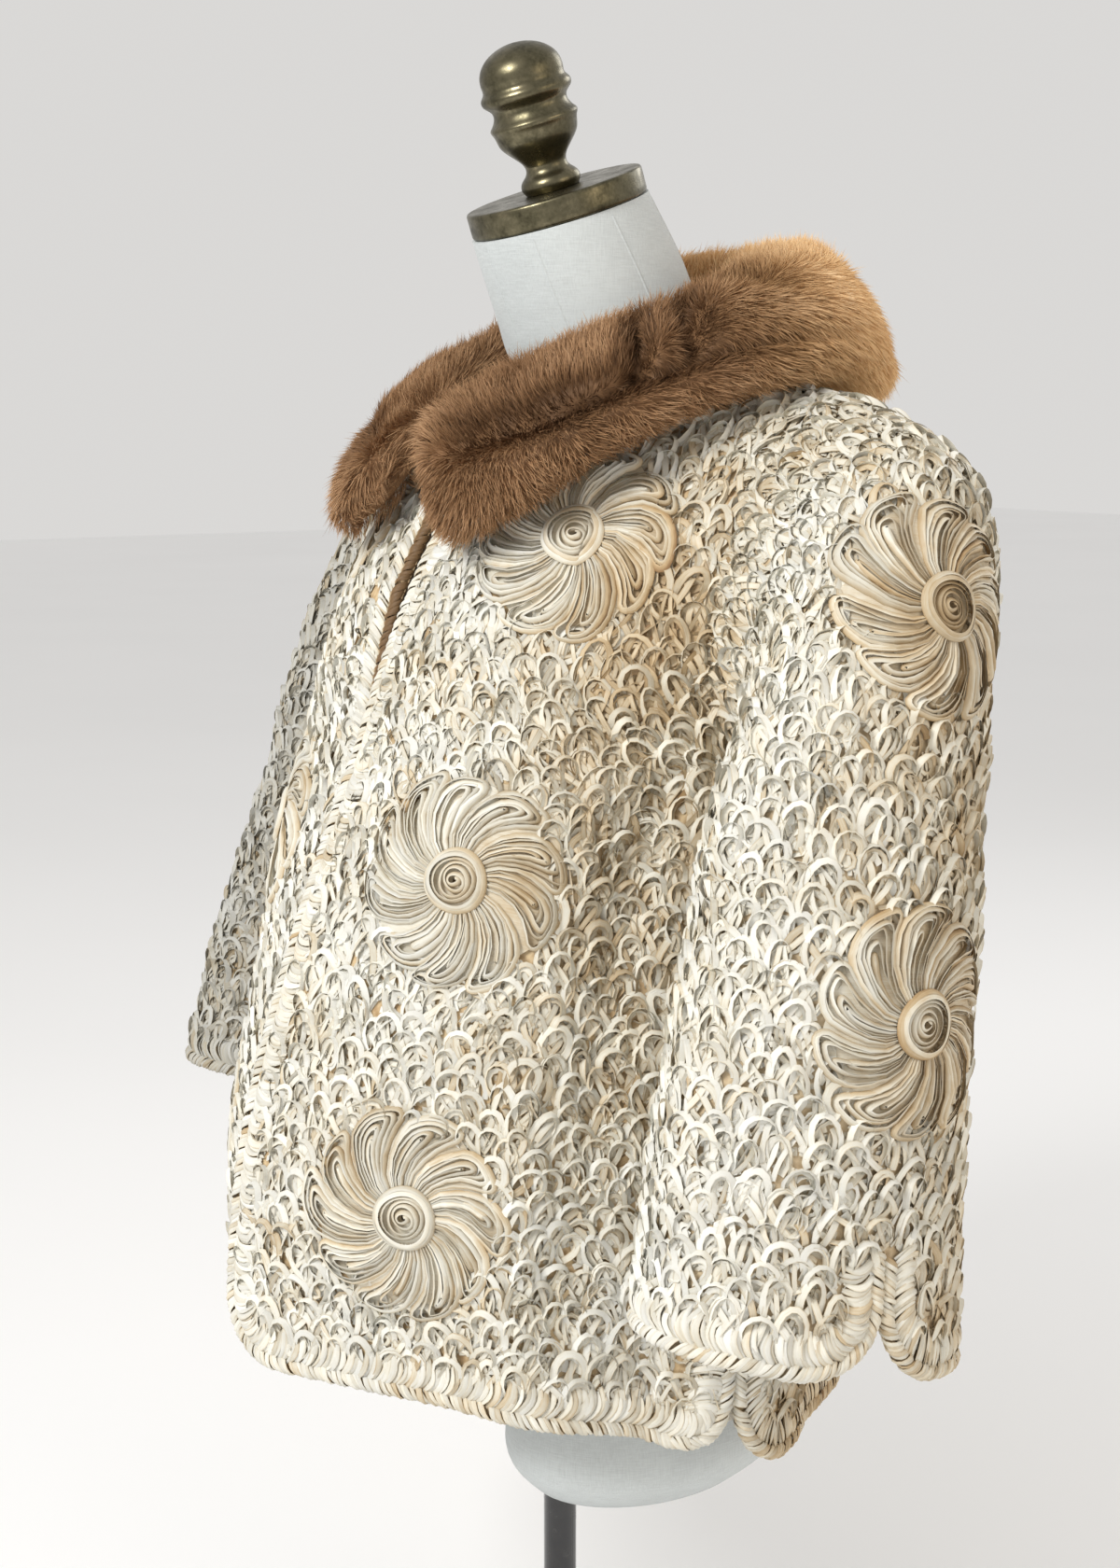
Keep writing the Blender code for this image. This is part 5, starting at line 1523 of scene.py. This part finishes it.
def build_cap_and_finial(look):
    bevel = CAP_BEVEL
    cap = [(0.0, CAP_RADIUS - bevel), (0.0004, CAP_RADIUS - 0.0006), (bevel, CAP_RADIUS)]
    cap += [(h, CAP_RADIUS) for h in np.linspace(bevel, CAP_HEIGHT - bevel, 5)[1:]]
    cap += [(CAP_HEIGHT - 0.0004, CAP_RADIUS - 0.0006), (CAP_HEIGHT, CAP_RADIUS - bevel)]
    cap += [(CAP_HEIGHT, CAP_RADIUS * share) for share in (0.9, 0.7, 0.4, 0.1)]
    made = [turned("cap_of_neck", cap, look, CAP_FOOT)]
    (foot_of_dome, dome_radius), top = FINIAL[FINIAL_DOME], FINIAL[-1][0]
    profile = [(h, float(through(FINIAL, h)[0])) for h in np.linspace(0, foot_of_dome, 64)]
    for turn in np.linspace(0, math.pi / 2, 15)[1:]:
        radius = max(dome_radius * math.cos(turn), 0.0004)
        profile.append((foot_of_dome + (top - foot_of_dome) * math.sin(turn), radius))
    rise = CAP_HEIGHT + GAP
    foot = np.array(CAP_FOOT) + rise * np.array([0.0, -math.sin(NECK_LEAN), math.cos(NECK_LEAN)])
    made.append(turned("turned_finial", profile, look, foot))
    return made


# Stage


def aim(thing, direction):
    """Turns a camera or a lamp to look that way."""
    thing.rotation_mode = "QUATERNION"
    thing.rotation_quaternion = direction.to_track_quat("-Z", "Y")


def build_camera():
    pitch = CAMERA_PITCH
    right, ahead = math.sin(CAMERA_AZIMUTH), -math.cos(CAMERA_AZIMUTH)
    data = bpy.data.cameras.new("camera")
    data.sensor_fit = "VERTICAL"
    data.sensor_height = SENSOR_HEIGHT
    data.lens = FOCAL_PIXELS * SENSOR_HEIGHT / PICTURE_HEIGHT
    camera = link_new("camera", data)
    camera.location = (CAMERA_DISTANCE * right, CAMERA_DISTANCE * ahead, CAMERA_HEIGHT + STAND_RISE)
    aim(camera, -Vector((right * math.cos(pitch), ahead * math.cos(pitch), math.sin(pitch))))
    bpy.context.scene.camera = camera


def build_light():
    world = bpy.data.worlds.new("studio")
    bpy.context.scene.world = world
    world.use_nodes = True
    shade = world.node_tree.nodes["Background"]
    shade.inputs["Color"].default_value = WORLD_COLOUR
    shade.inputs["Strength"].default_value = WORLD_STRENGTH
    target = Vector((0.0, 0.0, LAMPS_AIM_AT + STAND_RISE))
    for lamp in LAMPS:
        data = bpy.data.lights.new(lamp.name, "AREA")
        data.shape = "DISK"
        data.size = lamp.size
        data.energy = lamp.power
        data.color = lamp.colour
        made = link_new(lamp.name, data)
        made.location = Vector(lamp.place) + Vector((0.0, 0.0, STAND_RISE))
        aim(made, target - made.location)
    bpy.context.scene.view_settings.view_transform = "Standard"


def build_floor():
    signs = ((-1, -1), (1, -1), (1, 1), (-1, 1))
    corners = [[x * FLOOR_REACH, y * FLOOR_REACH, -FLOOR_DROP] for x, y in signs]
    add_piece("floor", corners, [[0, 1, 2, 3]], floor_look(), rise=0.0)


# The whole


def build_panel(panel, side, straw, ground, lining):
    """One panel of the jacket with its rosettes, loops, edging and lining."""
    node = panel if panel == "back" else panel + ("_left" if side > 0 else "_right")
    surface = Surface(panel, side)
    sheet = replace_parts(shell("cloth_" + node, surface, SHELL, ground), node)
    on_it, wheels = [], []
    for spot in ROSETTES:
        if spot.panel != panel:
            continue
        for half in ((1, -1) if panel == "back" else (side,)):
            across = spot.across * half if panel == "back" else spot.across
            hand = "left" if half > 0 else "right"
            wheel = build_rosette(f"wheel_{panel}_{spot.name}_{hand}", surface, spot, across, straw)
            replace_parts(wheel, f"rosette_{panel}_{spot.name}_{hand}")
            on_it.append(wheel)
            wheels.append(surface.at(np.array([across]), np.array([spot.up]))[0, :3])
    on_it.append(build_loops("loops_" + node, surface, wheels, straw))
    edge = braid("braid_" + node, surface, straw)
    on_it.append(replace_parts(edge, "edging_" + node))
    inner = shell("inner_" + node, surface, LINING, lining, True)
    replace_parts(inner, "lining_" + node)


def main():
    build_camera()
    build_light()
    build_floor()
    straw = straw_look()
    # Under-layers: dark brown to tan as painted shade under the loops, the body's a little darker than the
    # sleeves'.
    grounds = {
        "front": ground_and_painted_shade_look("under_loops_body", (0.40, 0.25, 0.12), (0.74, 0.57, 0.34)),
        "sleeve": ground_and_painted_shade_look("under_loops_sleeve", (0.42, 0.30, 0.17), (0.72, 0.58, 0.38)),
    }
    grounds["back"] = grounds["front"]
    lining = lining_look()
    for panel, side in (("front", 1), ("front", -1), ("back", 1), ("sleeve", 1), ("sleeve", -1)):
        build_panel(panel, side, straw, grounds[panel], lining)
    fur = fur_look()
    pelt = build_pelt(fur)
    hairs = [build_hairs(name, *half, fur) for name, half in HAIRS.items()]
    for piece in (pelt, *hairs):
        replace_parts(piece, "fur_collar")
    linen = linen_look()
    for piece in (*build_form(linen), build_seams(linen)):
        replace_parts(piece, "form_torso")
    cap, finial = build_cap_and_finial(bronze_look())
    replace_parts(cap, "neck_cap")
    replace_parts(finial, "finial")
    black = black_look()
    for node in ("stand_pole", "stand_foot"):
        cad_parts[node].data.materials.clear()
        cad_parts[node].data.materials.append(black)


main()
